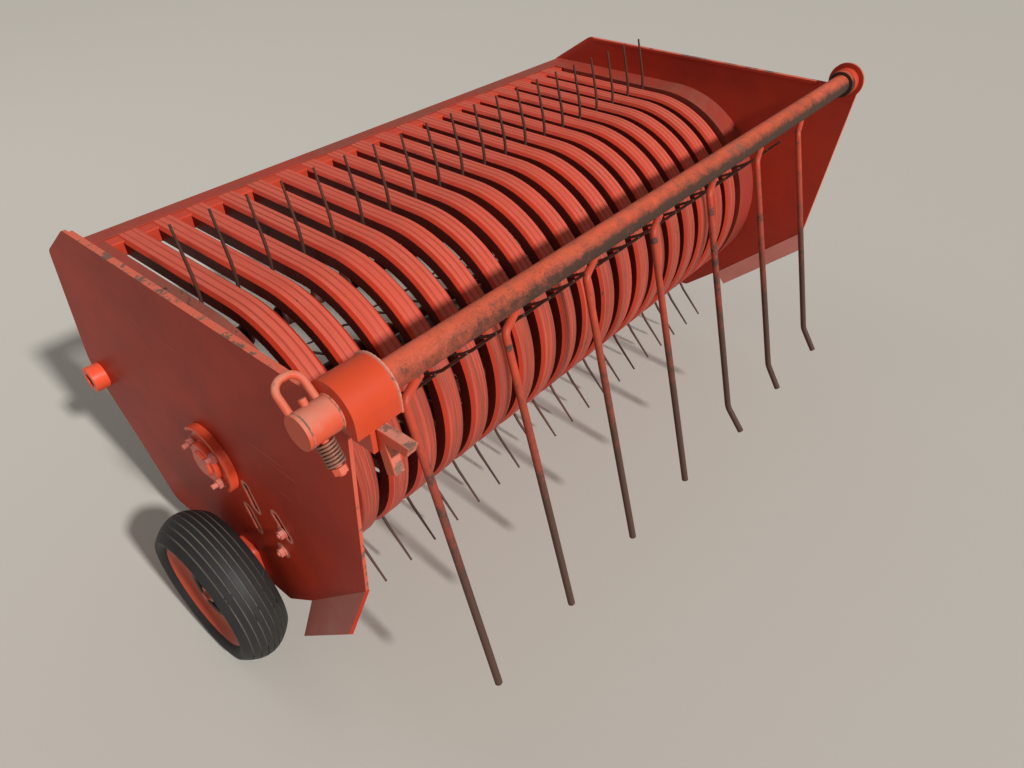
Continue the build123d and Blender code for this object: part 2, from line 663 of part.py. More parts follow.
# Saddle over the left plate's front corner: a half-round shell closed by two end plates
with BuildPart() as guard_saddle:
    with BuildSketch(across_at(SADDLE_LEFT, GUARD_Y, GUARD_Z)):
        Circle(SADDLE_RADIUS)
        with Locations((0, -SADDLE_RADIUS / 2)):
            Rectangle(2 * SADDLE_RADIUS, SADDLE_RADIUS, mode=Mode.SUBTRACT)
        with Locations((0, -SADDLE_SKIRT / 2)):
            Rectangle(2 * SADDLE_RADIUS, SADDLE_SKIRT)
    extrude(amount=SADDLE_RIGHT - SADDLE_LEFT)
    with BuildSketch(across_at(SADDLE_LEFT + SADDLE_WALL, GUARD_Y, GUARD_Z)):
        Circle(SADDLE_RADIUS - SADDLE_WALL)
        with Locations((0, -SADDLE_RADIUS / 2)):
            Rectangle(2 * (SADDLE_RADIUS - SADDLE_WALL), SADDLE_RADIUS)
    extrude(amount=SADDLE_RIGHT - SADDLE_LEFT - 2 * SADDLE_WALL, mode=Mode.SUBTRACT)
    with BuildSketch(across_at(SADDLE_LEFT, GUARD_Y, GUARD_Z)):
        Circle(TUBE_RADIUS + RUNNING)
    extrude(amount=SADDLE_RIGHT - SADDLE_LEFT, mode=Mode.SUBTRACT)
keep(guard_saddle, "guard_saddle")

with BuildPart() as saddle_foot:
    with BuildSketch(across_at(PLATE, GUARD_Y, GUARD_Z - SADDLE_SKIRT - FOOT_HEIGHT / 2)):
        Rectangle(2 * SADDLE_RADIUS, FOOT_HEIGHT)
    extrude(amount=FOOT)
keep(saddle_foot, "saddle_foot")

# Latch: a capped sleeve on the saddle's left end with a bent handle welded to it, a pin that leans
# forward through the sleeve, and the pin's return spring held by a nut
GUARD_AXIS_Y = REEL_Y + GUARD_Y
GUARD_AXIS_Z = REEL_Z + GUARD_Z
SLEEVE_X = SADDLE_LEFT - SLEEVE_LENGTH
SLEEVE_MIDDLE = SLEEVE_X + SLEEVE_LENGTH / 2
PIN_PLANE = Plane(
    origin=(SLEEVE_MIDDLE, GUARD_AXIS_Y, GUARD_AXIS_Z),
    x_dir=(1, 0, 0),
    z_dir=(0, sin(radians(PIN_TILT)), cos(radians(PIN_TILT))),
)
HANDLE_PLANE = Plane(
    origin=(SLEEVE_MIDDLE, GUARD_AXIS_Y, GUARD_AXIS_Z),
    x_dir=(1, 0, 0),
    z_dir=(0, -sin(radians(HANDLE_ANGLE)), cos(radians(HANDLE_ANGLE))),
)
SPRING_TOP = SLEEVE / 2 + SIDE_GAP
NUT_TOP = SPRING_TOP + SPRING_LENGTH + SIDE_GAP
PIN_END = NUT_TOP + NUT_HEIGHT + PIN_STUB
PIN_HEAD = SLEEVE / 2 + PIN_ABOVE
with BuildPart() as latch_sleeve:
    with BuildSketch(across_at(SLEEVE_X, GUARD_Y, GUARD_Z)):
        Circle(SLEEVE / 2)
    extrude(amount=SLEEVE_LENGTH)
    with BuildLine(HANDLE_PLANE) as handle_line:
        handle_root = (SLEEVE / 2 + SLEEVE_BORE / 2) / 2
        half_handle = HANDLE_WIDTH / 2
        FilletPolyline(
            (-half_handle, handle_root),
            (-half_handle, HANDLE_REACH),
            (half_handle, HANDLE_REACH),
            (half_handle, handle_root),
            radius=HANDLE_BEND,
        )
    with BuildSketch(Plane(origin=handle_line.line @ 0, z_dir=handle_line.line % 0)):
        Circle(HANDLE_ROD / 2)
    sweep(path=handle_line.line)
    with BuildSketch(across_at(SLEEVE_X + SLEEVE_CAP, GUARD_Y, GUARD_Z)):
        Circle(SLEEVE_BORE / 2)
    extrude(amount=SLEEVE_LENGTH - SLEEVE_CAP, mode=Mode.SUBTRACT)
    with BuildSketch(PIN_PLANE.offset(-SLEEVE)):
        Circle(PIN / 2 + PIN_FIT)
    extrude(amount=2 * SLEEVE, mode=Mode.SUBTRACT)
keep(latch_sleeve, "latch_sleeve")

with BuildPart() as latch_pin:
    with BuildSketch(PIN_PLANE.offset(-PIN_END)):
        Circle(PIN / 2)
    extrude(amount=PIN_END + PIN_HEAD)
    with BuildSketch(PIN_PLANE.offset(-NUT_TOP - NUT_HEIGHT)):
        RegularPolygon(NUT / 2, 6)
    extrude(amount=NUT_HEIGHT)
keep(latch_pin, "latch_pin")

with BuildPart() as latch_spring:
    with BuildSketch(PIN_PLANE.offset(-SPRING_TOP - SPRING_LENGTH)):
        Circle(SPRING / 2)
        Circle(SPRING_BORE / 2, mode=Mode.SUBTRACT)
    extrude(amount=SPRING_LENGTH)
keep(latch_spring, "latch_spring")

# Forked stop under the saddle's front flank: one prong points forward and the other down
with BuildPart() as fork_plate:
    flank = -SADDLE_RADIUS
    fork_top = -SADDLE_SKIRT
    with BuildSketch(across_at(FORK_LEFT, GUARD_Y, GUARD_Z)):
        with BuildLine():
            Polyline(
                (flank + SADDLE_WALL, fork_top),
                (flank - FORK_REACH, fork_top),
                (flank - FORK_REACH + FORK_TIP, fork_top - FORK_PRONG),
                (flank - FORK_CROTCH, fork_top - FORK_PRONG),
                (flank - FORK_CROTCH - FORK_SPLAY, fork_top - FORK_DROP),
                (flank - FORK_CROTCH - FORK_SPLAY + FORK_PRONG, fork_top - FORK_DROP - FORK_TIP),
                (flank + SADDLE_WALL, fork_top - FORK_PRONG - FORK_TIP),
                close=True,
            )
        make_face()
    extrude(amount=FORK)
keep(fork_plate, "fork_plate")

# Bush on the right plate's inner face
with BuildPart() as right_guard_bush:
    with BuildSketch(across_at(RIGHT_INNER - BUSH_LENGTH, GUARD_Y, GUARD_Z)):
        Circle(BUSH / 2)
        Circle(TUBE_RADIUS + RUNNING, mode=Mode.SUBTRACT)
    extrude(amount=BUSH_LENGTH)
keep(right_guard_bush, "right_guard_bush")

# Wind guard: open tube, a collar against the bush, and the hanging rods
GUARD_LEFT = SADDLE_LEFT + SIDE_GAP
with BuildPart() as guard_tube:
    with BuildSketch(across_at(GUARD_LEFT, GUARD_Y, GUARD_Z)):
        Circle(TUBE_RADIUS)
        Circle(TUBE_RADIUS - GUARD_WALL, mode=Mode.SUBTRACT)
    extrude(amount=RIGHT_OUTER + GUARD_PAST - GUARD_LEFT)
keep(guard_tube, "guard_tube")

with BuildPart() as guard_collar:
    collar_x = RIGHT_INNER - BUSH_LENGTH - SIDE_GAP - COLLAR_LENGTH
    with BuildSketch(across_at(collar_x, GUARD_Y, GUARD_Z)):
        Circle(COLLAR / 2)
        Circle(TUBE_RADIUS, mode=Mode.SUBTRACT)
    extrude(amount=COLLAR_LENGTH)
keep(guard_collar, "guard_collar")

ROD_SEAT = TUBE_RADIUS + GUARD_ROD / 2 + ROD_TOUCH
with BuildPart() as guard_rods:
    for rod_number, toe_angle in enumerate(ROD_TOES):
        rod_x = FIRST_ROD + ROD_PITCH * rod_number
        hinge = Vector(rod_x, REEL_Y + GUARD_Y, REEL_Z + GUARD_Z)
        seat = hinge + Vector(ROD_LEG, 0, -ROD_SEAT)
        knee = hinge + Vector(0, ROD_KNEE_Y, ROD_KNEE_Z)
        fall = Vector(0, ROD_FORWARD, ROD_DROP)
        down = fall.normalized()
        points = [seat, knee]
        radii = [ROD_BEND]
        if toe_angle:
            bend = knee + fall - down * ROD_TOE
            toe = down.rotate(Axis.X, -toe_angle) * ROD_TOE
            points += [bend, bend + toe]
            radii.append(3 * ROD_BEND)
        else:
            points.append(knee + fall)
        with BuildLine() as rod_line:
            FilletPolyline(*points, radius=radii)
        with BuildSketch(Plane(origin=seat, z_dir=knee - seat)):
            Circle(GUARD_ROD / 2)
        sweep(path=rod_line.line)
keep(guard_rods, "guard_rods")
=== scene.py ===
import json
from math import cos, pi, radians, sin

import bmesh
import bpy
from mathutils import Euler, Matrix, Vector


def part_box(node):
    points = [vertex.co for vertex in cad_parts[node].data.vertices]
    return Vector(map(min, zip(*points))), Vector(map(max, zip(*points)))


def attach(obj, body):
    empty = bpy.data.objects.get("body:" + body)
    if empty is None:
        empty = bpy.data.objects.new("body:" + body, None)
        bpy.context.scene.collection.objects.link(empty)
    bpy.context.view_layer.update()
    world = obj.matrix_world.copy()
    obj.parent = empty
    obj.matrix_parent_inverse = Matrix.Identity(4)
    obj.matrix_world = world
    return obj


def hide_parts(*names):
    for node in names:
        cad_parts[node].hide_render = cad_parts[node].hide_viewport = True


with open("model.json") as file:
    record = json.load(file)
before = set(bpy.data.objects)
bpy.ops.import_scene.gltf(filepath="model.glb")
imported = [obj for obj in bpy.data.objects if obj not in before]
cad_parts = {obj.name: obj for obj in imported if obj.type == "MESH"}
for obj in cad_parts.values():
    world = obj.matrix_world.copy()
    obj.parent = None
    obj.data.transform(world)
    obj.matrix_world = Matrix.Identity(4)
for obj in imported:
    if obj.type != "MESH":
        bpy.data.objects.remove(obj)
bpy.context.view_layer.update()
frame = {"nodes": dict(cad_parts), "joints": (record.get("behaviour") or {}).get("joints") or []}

# Camera
# Held at 1.4 m above the floor in front of the header's left corner, looking down across it
# with a wide lens. Its place was fitted to tine tips, band edges, plates, guard and wheel.
camera_data = bpy.data.cameras.new("camera")
camera_data.sensor_width = 36.0
camera_data.lens = 26.1
camera_data.clip_start = 0.05
camera_data.clip_end = 60.0
camera = bpy.data.objects.new("camera", camera_data)
camera.location = (-0.3572, -1.4627, 0.9471)
camera.rotation_euler = Euler((radians(50.96), radians(1.18), radians(-49.34)))
bpy.context.scene.collection.objects.link(camera)
bpy.context.scene.camera = camera

# Floor and studio light
# A plain pale floor under the gauge wheel, an even light from low in front, a weak lamp over the
# rear and a plain surround.
FLOOR_GAP = 0.0005
wheel_low, wheel_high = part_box("wheel_tyre")
bpy.ops.object.select_all(action="DESELECT")
bpy.ops.mesh.primitive_plane_add(size=60.0, location=(0.7, 0.0, wheel_low.z - FLOOR_GAP))
floor = bpy.context.object
floor.name = "floor"
bpy.ops.object.transform_apply(location=True, rotation=True, scale=True)
floor_material = bpy.data.materials.new("pale_floor")
floor_material.use_nodes = True
floor_nodes = floor_material.node_tree.nodes
floor_shader = floor_nodes["Principled BSDF"]
floor_shader.inputs["Roughness"].default_value = 0.85
floor_shader.inputs["Base Color"].default_value = (0.50, 0.468, 0.415, 1.0)
floor.data.materials.append(floor_material)

view_settings = bpy.context.scene.view_settings
view_settings.view_transform = "Standard"
world = bpy.data.worlds.new("surround")
world.use_nodes = True
world.node_tree.nodes["Background"].inputs["Color"].default_value = (1.0, 0.97, 0.93, 1.0)
world.node_tree.nodes["Background"].inputs["Strength"].default_value = 0.24
bpy.context.scene.world = world

key_data = bpy.data.lights.new("key_light", "SUN")
key_data.energy = 3.6
key_data.angle = radians(3.5)
key_light = bpy.data.objects.new("key_light", key_data)
key_light.rotation_euler = Vector((0.06, 0.802, -0.597)).to_track_quat("-Z", "Y").to_euler()
bpy.context.scene.collection.objects.link(key_light)

rear_data = bpy.data.lights.new("rear_light", "AREA")
rear_data.size = 2.5
rear_data.energy = 24.0
rear_light = bpy.data.objects.new("rear_light", rear_data)
rear_light.location = (-0.4, 2.8, 3.4)
rear_aim = Vector((0.7, -0.3, 0.0)) - Vector(rear_light.location)
rear_light.rotation_euler = rear_aim.to_track_quat("-Z", "Y").to_euler()
bpy.context.scene.collection.objects.link(rear_light)


# Side plates
# Two 6 mm steel plates, folded along the top and with a lip bent outwards at the lower front.
# Sprayed orange-red, now dull and scratched, with the paint gone from the cut edges.
EDGE_FINISH = 1
LIP_FINISH = 2


def activate(piece):
    """Makes a piece the one that is selected and worked on."""
    bpy.ops.object.select_all(action="DESELECT")
    piece.select_set(True)
    bpy.context.view_layer.objects.active = piece


def rounded_copy(node, radius):
    """A copy of a CAD node, its triangles merged into whole faces and its edges rounded."""
    piece = bpy.data.objects.new(node + "_dressed", frame["nodes"][node].data.copy())
    piece.data.materials.clear()
    bpy.context.scene.collection.objects.link(piece)
    activate(piece)
    bpy.ops.object.mode_set(mode="EDIT")
    bpy.ops.mesh.select_all(action="SELECT")
    bpy.ops.mesh.remove_doubles(threshold=0.00002)
    bpy.ops.mesh.dissolve_limited(angle_limit=radians(0.6))
    bpy.ops.object.mode_set(mode="OBJECT")
    soften = piece.modifiers.new("soften", "BEVEL")
    soften.width = radius
    soften.segments = 2
    soften.limit_method = "ANGLE"
    soften.angle_limit = radians(40.0)
    soften.material = EDGE_FINISH
    bpy.ops.object.modifier_apply(modifier="soften")
    bpy.ops.object.shade_smooth_by_angle(angle=radians(35.0))
    level = piece.modifiers.new("level", "WEIGHTED_NORMAL")
    level.keep_sharp = True
    bpy.ops.object.modifier_apply(modifier="level")
    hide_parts(node)
    return piece


def paint(piece, slot, *materials):
    """The materials of a piece, in the order of its faces' numbers. The slot is not used."""
    for material in materials:
        piece.data.materials.append(material)


def add_node(tree, kind, inputs, **settings):
    """A shader node with its settings, each of its inputs being a link or a value."""
    node = tree.nodes.new("ShaderNode" + kind)
    for setting, value in settings.items():
        setattr(node, setting, value)
    for key, value in inputs.items():
        if isinstance(value, bpy.types.NodeSocket):
            tree.links.new(value, node.inputs[key])
        else:
            node.inputs[key].default_value = value
    return node


def maths(tree, operation, *terms, clamp=False):
    """The result of one sum, each of its terms a link or a number."""
    node = add_node(tree, "Math", dict(enumerate(terms)), operation=operation, use_clamp=clamp)
    return node.outputs[0]


def vector_maths(tree, operation, first, second, result="Vector"):
    """The result of one sum of two vectors: a vector, or a number if the result is Value."""
    node = add_node(tree, "VectorMath", {0: first, 1: second}, operation=operation)
    return node.outputs[result]


def ranged(tree, value, low, high):
    """0 where a value is at low and 1 where it is at high, and held there beyond them."""
    inputs = {"Value": value, "From Min": low, "From Max": high}
    return add_node(tree, "MapRange", inputs).outputs[0]


def noise(tree, vector, scale, detail, roughness):
    """Cloudy noise from 0 to 1."""
    inputs = {"Vector": vector, "Scale": scale, "Detail": detail, "Roughness": roughness}
    return add_node(tree, "TexNoise", inputs).outputs["Fac"]


def mixed(tree, mask, under, on_top):
    """The colour under, and the colour on_top where the mask is 1."""
    node = add_node(tree, "Mix", {"Factor": mask}, data_type="RGBA")
    sides = [socket for socket in node.inputs if socket.type == "RGBA"]
    for socket, colour in zip(sides, (under, on_top)):
        if isinstance(colour, tuple):
            socket.default_value = (*colour, 1.0)
        else:
            tree.links.new(colour, socket)
    return next(socket for socket in node.outputs if socket.type == "RGBA")


def weathering_group():
    """Masks for chipped paint, dust, scratches and cloudy shade, and a fine height for bump."""
    group = bpy.data.node_groups.new("weathering", "ShaderNodeTree")
    for socket in ("Chips", "Dust", "Scratches", "Speckles"):
        group.interface.new_socket(socket, in_out="INPUT", socket_type="NodeSocketFloat")
    for socket in ("Chips", "Dust", "Scratches", "Speckles", "Shade", "Height"):
        group.interface.new_socket(socket, in_out="OUTPUT", socket_type="NodeSocketFloat")
    given = group.nodes.new("NodeGroupInput")
    out = group.nodes.new("NodeGroupOutput")
    where = add_node(group, "TexCoord", {}).outputs

    def blend(first, first_share, second, second_share):
        """Two values added up, each by its share."""
        part = maths(group, "MULTIPLY", first, first_share)
        return maths(group, "MULTIPLY_ADD", second, second_share, part)

    broad = noise(group, where["Object"], scale=5.0, detail=5.0, roughness=0.6)
    middle = noise(group, where["Object"], scale=38.0, detail=9.0, roughness=0.72)
    fine = noise(group, where["Object"], scale=420.0, detail=3.0, roughness=0.6)
    facing = add_node(group, "SeparateXYZ", {0: where["Normal"]})
    turn = (radians(24.0), radians(31.0), radians(12.0))
    stretch = {"Vector": where["Object"], "Rotation": turn, "Scale": (30.0, 4.0, 190.0)}
    stretched = add_node(group, "Mapping", stretch).outputs[0]
    strokes = noise(group, stretched, scale=1.0, detail=2.0, roughness=0.5)
    chipped = blend(broad, 0.35, middle, 0.65)
    flecked = blend(blend(fine, 0.6, middle, 0.3), 1.0, broad, 0.1)
    dusty = blend(blend(facing.outputs["Z"], 0.22, broad, 0.6), 1.0, middle, 0.35)
    scratched = blend(strokes, 0.75, broad, 0.25)
    for mask, value, at_none, at_full, soft in (
        ("Chips", chipped, 0.70, 0.40, 0.03),
        ("Speckles", flecked, 0.75, 0.42, 0.02),
        ("Dust", dusty, 0.95, 0.25, 0.30),
        ("Scratches", scratched, 0.80, 0.50, 0.02),
    ):
        # A mask shows where its value is over a limit, which falls as the amount asked for rises
        falls = {"Value": given.outputs[mask], "To Min": at_none, "To Max": at_full}
        limit = add_node(group, "MapRange", falls, clamp=False).outputs[0]
        beyond = maths(group, "SUBTRACT", value, limit)
        group.links.new(ranged(group, beyond, 0.0, soft), out.inputs[mask])
    group.links.new(broad, out.inputs["Shade"])
    group.links.new(blend(middle, 0.7, fine, 0.3), out.inputs["Height"])
    return group


weathering = weathering_group()
# Where in a noise the shade turns, the streaks tint the coat and the streaks hold soil
SHADE_TURNS = (0.35, 0.65)
STREAKS_TINT = (0.46, 0.74)
STREAKS_SOIL = (0.34, 0.62)
SCRATCH_GAIN = 1.5
SCRATCH_LIFT = 0.04
DUST_ROUGHENS = 0.35
SOIL_ROUGHENS = 0.15
CHIPS_ROUGHEN = 0.3
CHIP_DEPTH = -0.6
BUMP_DISTANCE = 0.0006
# In spans of a soiled edge: how far the noise moves it, and how much of that is the noise's mean
SOIL_RAGGED = 2.2
SOIL_RAGGED_MEAN = 0.95
# In metres: how ragged the edge of a rubbed place is, and where round it the rubbing ends and fades
RUB_RAGGED = 0.012
RUB_END = 0.0065
RUB_FADE = 0.0050


def coated(
    name, coat, shade, bare, dust, chips, dusting, gloss, scratches=0.2, metal=0.0, film=0.6,
    sheen=0.3, speckles=0.0, fleck=(0.08, 0.045, 0.03), soils=(), soil=None, grain=None,
    grain_tone=None, rubbed=(), rubbed_tone=None,
):
    """A painted or rusty finish: coat varies to shade, with bare chips and a film of dust.

    Each of soils is (what, axis, clean at, soiled at). Where all of them hold, soil covers the
    coat. grain stretches a noise along the surface, which tints it towards grain_tone. Each of
    rubbed is (one end, other end, reach): round that stretch of a plate the coat is rubbed to
    rubbed_tone.
    """
    material = bpy.data.materials.new(name)
    material.use_nodes = True
    tree = material.node_tree
    shader = tree.nodes["Principled BSDF"]
    shader.inputs["Metallic"].default_value = metal
    shader.inputs["Specular IOR Level"].default_value = sheen
    where = add_node(tree, "TexCoord", {}).outputs
    amounts = {"Chips": chips, "Dust": dusting, "Scratches": scratches, "Speckles": speckles}
    worn = add_node(tree, "Group", amounts, node_tree=weathering).outputs

    def toned(under, tone, mask, strength):
        """A colour with a tone over it, as strong as the mask times the strength."""
        return mixed(tree, maths(tree, "MULTIPLY", mask, strength), under, tone)

    colour = mixed(tree, ranged(tree, worn["Shade"], *SHADE_TURNS), coat, shade)
    if grain:
        stretch = {"Vector": where["Object"], "Scale": grain}
        stretched = add_node(tree, "Mapping", stretch).outputs[0]
        streaks = noise(tree, stretched, scale=1.0, detail=4.0, roughness=0.65)
        colour = toned(colour, grain_tone, ranged(tree, streaks, *STREAKS_TINT), strength=0.75)
    colour = toned(colour, dust, worn["Dust"], strength=film)
    light_coat = tuple(min(1.0, SCRATCH_GAIN * part + SCRATCH_LIFT) for part in coat)
    colour = toned(colour, light_coat, worn["Scratches"], strength=0.6)
    roughness = maths(tree, "MULTIPLY_ADD", worn["Dust"], DUST_ROUGHENS, gloss)
    if soils:
        cover = 1.0
        for what, axis, clean_at, soiled_at in soils:
            span = soiled_at - clean_at
            along = add_node(tree, "SeparateXYZ", {0: where[what]}).outputs[axis]
            along = maths(tree, "MULTIPLY_ADD", worn["Height"], SOIL_RAGGED * span, along)
            clean_at += SOIL_RAGGED_MEAN * span
            soiled_at += SOIL_RAGGED_MEAN * span
            cover = maths(tree, "MULTIPLY", cover, ranged(tree, along, clean_at, soiled_at))
        if grain:
            cover = maths(tree, "MULTIPLY", cover, ranged(tree, streaks, *STREAKS_SOIL))
        colour = mixed(tree, cover, colour, soil)
        roughness = maths(tree, "MULTIPLY_ADD", cover, SOIL_ROUGHENS, roughness)
    for start, end, reach in rubbed:
        run = end - start
        flat = vector_maths(tree, "MULTIPLY", where["Object"], (0.0, 1.0, 1.0))
        offset = vector_maths(tree, "SUBTRACT", flat, start)
        share = vector_maths(tree, "DOT_PRODUCT", offset, run / run.length_squared, "Value")
        share = maths(tree, "MULTIPLY", share, 1.0, clamp=True)
        nearest = add_node(tree, "VectorMath", {0: run, "Scale": share}, operation="SCALE")
        away = vector_maths(tree, "DISTANCE", offset, nearest.outputs["Vector"], "Value")
        away = maths(tree, "MULTIPLY_ADD", worn["Height"], RUB_RAGGED, away)
        rub = ranged(tree, away, reach + RUB_END, reach + RUB_FADE)
        colour = toned(colour, rubbed_tone, rub, strength=0.85)
    colour = toned(colour, fleck, worn["Speckles"], strength=0.85)
    colour = mixed(tree, worn["Chips"], colour, bare)
    roughness = maths(tree, "MULTIPLY_ADD", worn["Chips"], CHIPS_ROUGHEN, roughness, clamp=True)
    height = maths(tree, "MULTIPLY_ADD", worn["Chips"], CHIP_DEPTH, worn["Height"])
    relief = {"Strength": 0.35, "Distance": BUMP_DISTANCE, "Height": height}
    tree.links.new(colour, shader.inputs["Base Color"])
    tree.links.new(roughness, shader.inputs["Roughness"])
    tree.links.new(add_node(tree, "Bump", relief).outputs["Normal"], shader.inputs["Normal"])
    return material


def bare_edges(piece):
    """Gives the cut edges of a plate that stands across X the piece's second finish."""
    for face in piece.data.polygons:
        if abs(face.normal.x) < EDGE_TILT:
            face.material_index = EDGE_FINISH


def joint_place(name):
    """The point that a joint of the frame turns about."""
    return next(Vector(joint["pos_m"]) for joint in frame["joints"] if joint["name"] == name)


orange_red = (0.60, 0.062, 0.022)
deep_red = (0.46, 0.042, 0.020)
primer_brown = (0.105, 0.055, 0.040)
chaff_dust = (0.36, 0.21, 0.14)
reel_axis = joint_place("reel_spin")
EDGE_TILT = 0.3
# Each slot's middle, seen from the reel's axis, its tilt in degrees and its length
PLATE_SLOTS = (
    (-0.092, -0.044, -16.0, 0.047),
    (-0.072, -0.112, -18.0, 0.045),
    (-0.177, -0.057, -30.0, 0.043),
)
PLATE_NUTS = ((-0.177, -0.072), (-0.154, -0.138))
SLOT_HALF = 0.0075
SLOT_RUB = 0.007
NUT_RUB = 0.017
NUT_STRETCH = Vector((0, 0.001, 0))
rubbed_places = []
for y, z, tilt, length in PLATE_SLOTS:
    middle = Vector((0, reel_axis.y + y, reel_axis.z + z))
    lean = Vector((0, cos(radians(90 + tilt)), sin(radians(90 + tilt)))) * length / 2
    rubbed_places.append((middle - lean, middle + lean, SLOT_HALF + SLOT_RUB))
for y, z in PLATE_NUTS:
    middle = Vector((0, reel_axis.y + y, reel_axis.z + z))
    rubbed_places.append((middle, middle + NUT_STRETCH, NUT_RUB))
plate_paint = coated(
    "plate_enamel", coat=(0.50, 0.046, 0.022), shade=(0.38, 0.040, 0.022), bare=primer_brown,
    dust=(0.34, 0.10, 0.07), chips=0.12, dusting=0.25, scratches=0.38, gloss=0.40, film=0.45,
    sheen=0.2, speckles=0.10,
)
left_plate_paint = coated(
    "left_plate_enamel", coat=(0.47, 0.036, 0.014), shade=(0.33, 0.029, 0.013),
    bare=primer_brown, dust=(0.36, 0.085, 0.048), chips=0.12, dusting=0.25, scratches=0.42,
    gloss=0.44, film=0.35, sheen=0.08, speckles=0.12, rubbed=rubbed_places,
    rubbed_tone=(0.60, 0.26, 0.20),
)
edge_wear = coated(
    "worn_edges", coat=(0.62, 0.11, 0.060), shade=orange_red, bare=(0.17, 0.085, 0.060),
    dust=(0.46, 0.25, 0.18), chips=0.62, dusting=0.5, gloss=0.5, speckles=0.35,
)
# A pale pinkish coat on the outward lip: dust and painted light where it faces up
lip_dust_and_light = coated(
    "dusty_lit_lip", coat=(0.60, 0.20, 0.16), shade=(0.52, 0.15, 0.12), bare=primer_brown,
    dust=(0.70, 0.40, 0.35), chips=0.15, dusting=0.60, scratches=0.3, gloss=0.5,
)
LIP_TILT = (0.60, 0.92)
LIP_AREA = 0.001
for node, face_paint in (
    ("left_side_plate", left_plate_paint),
    ("right_side_plate", plate_paint),
):
    plate = rounded_copy(node, radius=0.0012)
    bare_edges(plate)
    for face in plate.data.polygons:
        if LIP_TILT[0] < abs(face.normal.x) < LIP_TILT[1] and face.area > LIP_AREA:
            face.material_index = LIP_FINISH
    paint(plate, "red_paint", face_paint, edge_wear, lip_dust_and_light)
    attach(plate, "header")

# Stripper bands
# Nineteen channels pressed from 2.5 mm sheet and bent round the reel, one between each pair of
# tine gaps, with deep bent-down sides. Crop rubs the crowns to a pale salmon. The sides' deeper
# red is painted shade, and the near-black of the insides is dirt and painted shade.
bands_low, bands_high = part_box("stripper_bands")
BAND_COUNT = 19
BAND_PITCH = 0.070
BAND_WIDTH = bands_high.x - bands_low.x - (BAND_COUNT - 1) * BAND_PITCH
BAND_RADIUS = (bands_high.z - bands_low.z) / 2
BAND_SHEET = 0.0025
BAND_BEVEL = 0.0060
BAND_FLANGE = 0.030
BAND_STEPS = 44
BAND_FACETS = radians(22.0)
CREASE_AT = 0.0075
CREASE_HALF = 0.0019
CREASE_DEPTH = 0.0005
SET_BACK = 0.004
FLANGE_GAP = 0.006
upper_beam_low, upper_beam_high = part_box("upper_rear_beam")
UPPER_FLANGE_END = upper_beam_low.y - FLANGE_GAP
UPPER_END = upper_beam_high.y - SET_BACK
LOWER_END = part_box("lower_rear_beam")[1].y - SET_BACK


def traced_line(name, points):
    """A line drawn point by point, by extruding one vertex from each point to the next."""
    bpy.ops.object.select_all(action="DESELECT")
    bpy.ops.mesh.primitive_plane_add(size=0.001, location=points[0])
    piece = bpy.context.object
    piece.name = name
    bpy.ops.object.mode_set(mode="EDIT")
    bpy.ops.mesh.select_all(action="SELECT")
    bpy.ops.mesh.merge(type="CENTER")
    for here, there in zip(points, points[1:]):
        step = Vector(there) - Vector(here)
        bpy.ops.mesh.extrude_region_move(TRANSFORM_OT_translate={"value": step})
    bpy.ops.object.mode_set(mode="OBJECT")
    bpy.ops.object.transform_apply(location=True, rotation=True, scale=True)
    return piece


def pick_faces(test):
    """Selects the faces whose middle and normal pass the test, and no others."""
    shape = bmesh.from_edit_mesh(bpy.context.edit_object.data)
    bpy.ops.mesh.select_all(action="DESELECT")
    for face in shape.faces:
        face.select_set(test(face.calc_center_median(), face.normal))
    shape.select_flush_mode()
    bmesh.update_edit_mesh(bpy.context.edit_object.data)


def over_beam(middle, normal):
    """True for the bent-down sides that would meet the upper beam."""
    return middle.y > UPPER_FLANGE_END and middle.z > reel_axis.z and abs(normal.x) > 0.5


def repeated(piece, count, pitch):
    """Repeats the active piece along X."""
    row = piece.modifiers.new("row", "ARRAY")
    row.count = count
    row.use_relative_offset = False
    row.use_constant_offset = True
    row.constant_offset_displace = (pitch, 0, 0)
    bpy.ops.object.modifier_apply(modifier="row")


half = BAND_WIDTH / 2
section = [(-half, -BAND_FLANGE), (-half, -BAND_BEVEL), (-half + BAND_BEVEL, 0.0)]
for crease in (-CREASE_AT, CREASE_AT):
    section += [(crease - CREASE_HALF, 0.0), (crease, -CREASE_DEPTH), (crease + CREASE_HALF, 0.0)]
section += [(half - BAND_BEVEL, 0.0), (half, -BAND_BEVEL), (half, -BAND_FLANGE)]
first_band = bands_low.x + half
top = reel_axis.z + BAND_RADIUS
bands = traced_line("bands", [(first_band + x, UPPER_END, top + depth) for x, depth in section])
bpy.ops.object.mode_set(mode="EDIT")
bpy.ops.mesh.select_all(action="SELECT")
for stretch in (UPPER_FLANGE_END - UPPER_END, reel_axis.y - UPPER_FLANGE_END):
    bpy.ops.mesh.extrude_region_move(TRANSFORM_OT_translate={"value": (0, stretch, 0)})
bpy.ops.mesh.spin(steps=BAND_STEPS, angle=pi, center=reel_axis, axis=(-1, 0, 0))
bpy.ops.mesh.extrude_region_move(TRANSFORM_OT_translate={"value": (0, LOWER_END - reel_axis.y, 0)})
pick_faces(over_beam)
bpy.ops.mesh.delete(type="FACE")
bpy.ops.mesh.select_all(action="SELECT")
bpy.ops.mesh.remove_doubles(threshold=0.00001)
bpy.ops.mesh.normals_make_consistent(inside=False)
bpy.ops.object.mode_set(mode="OBJECT")
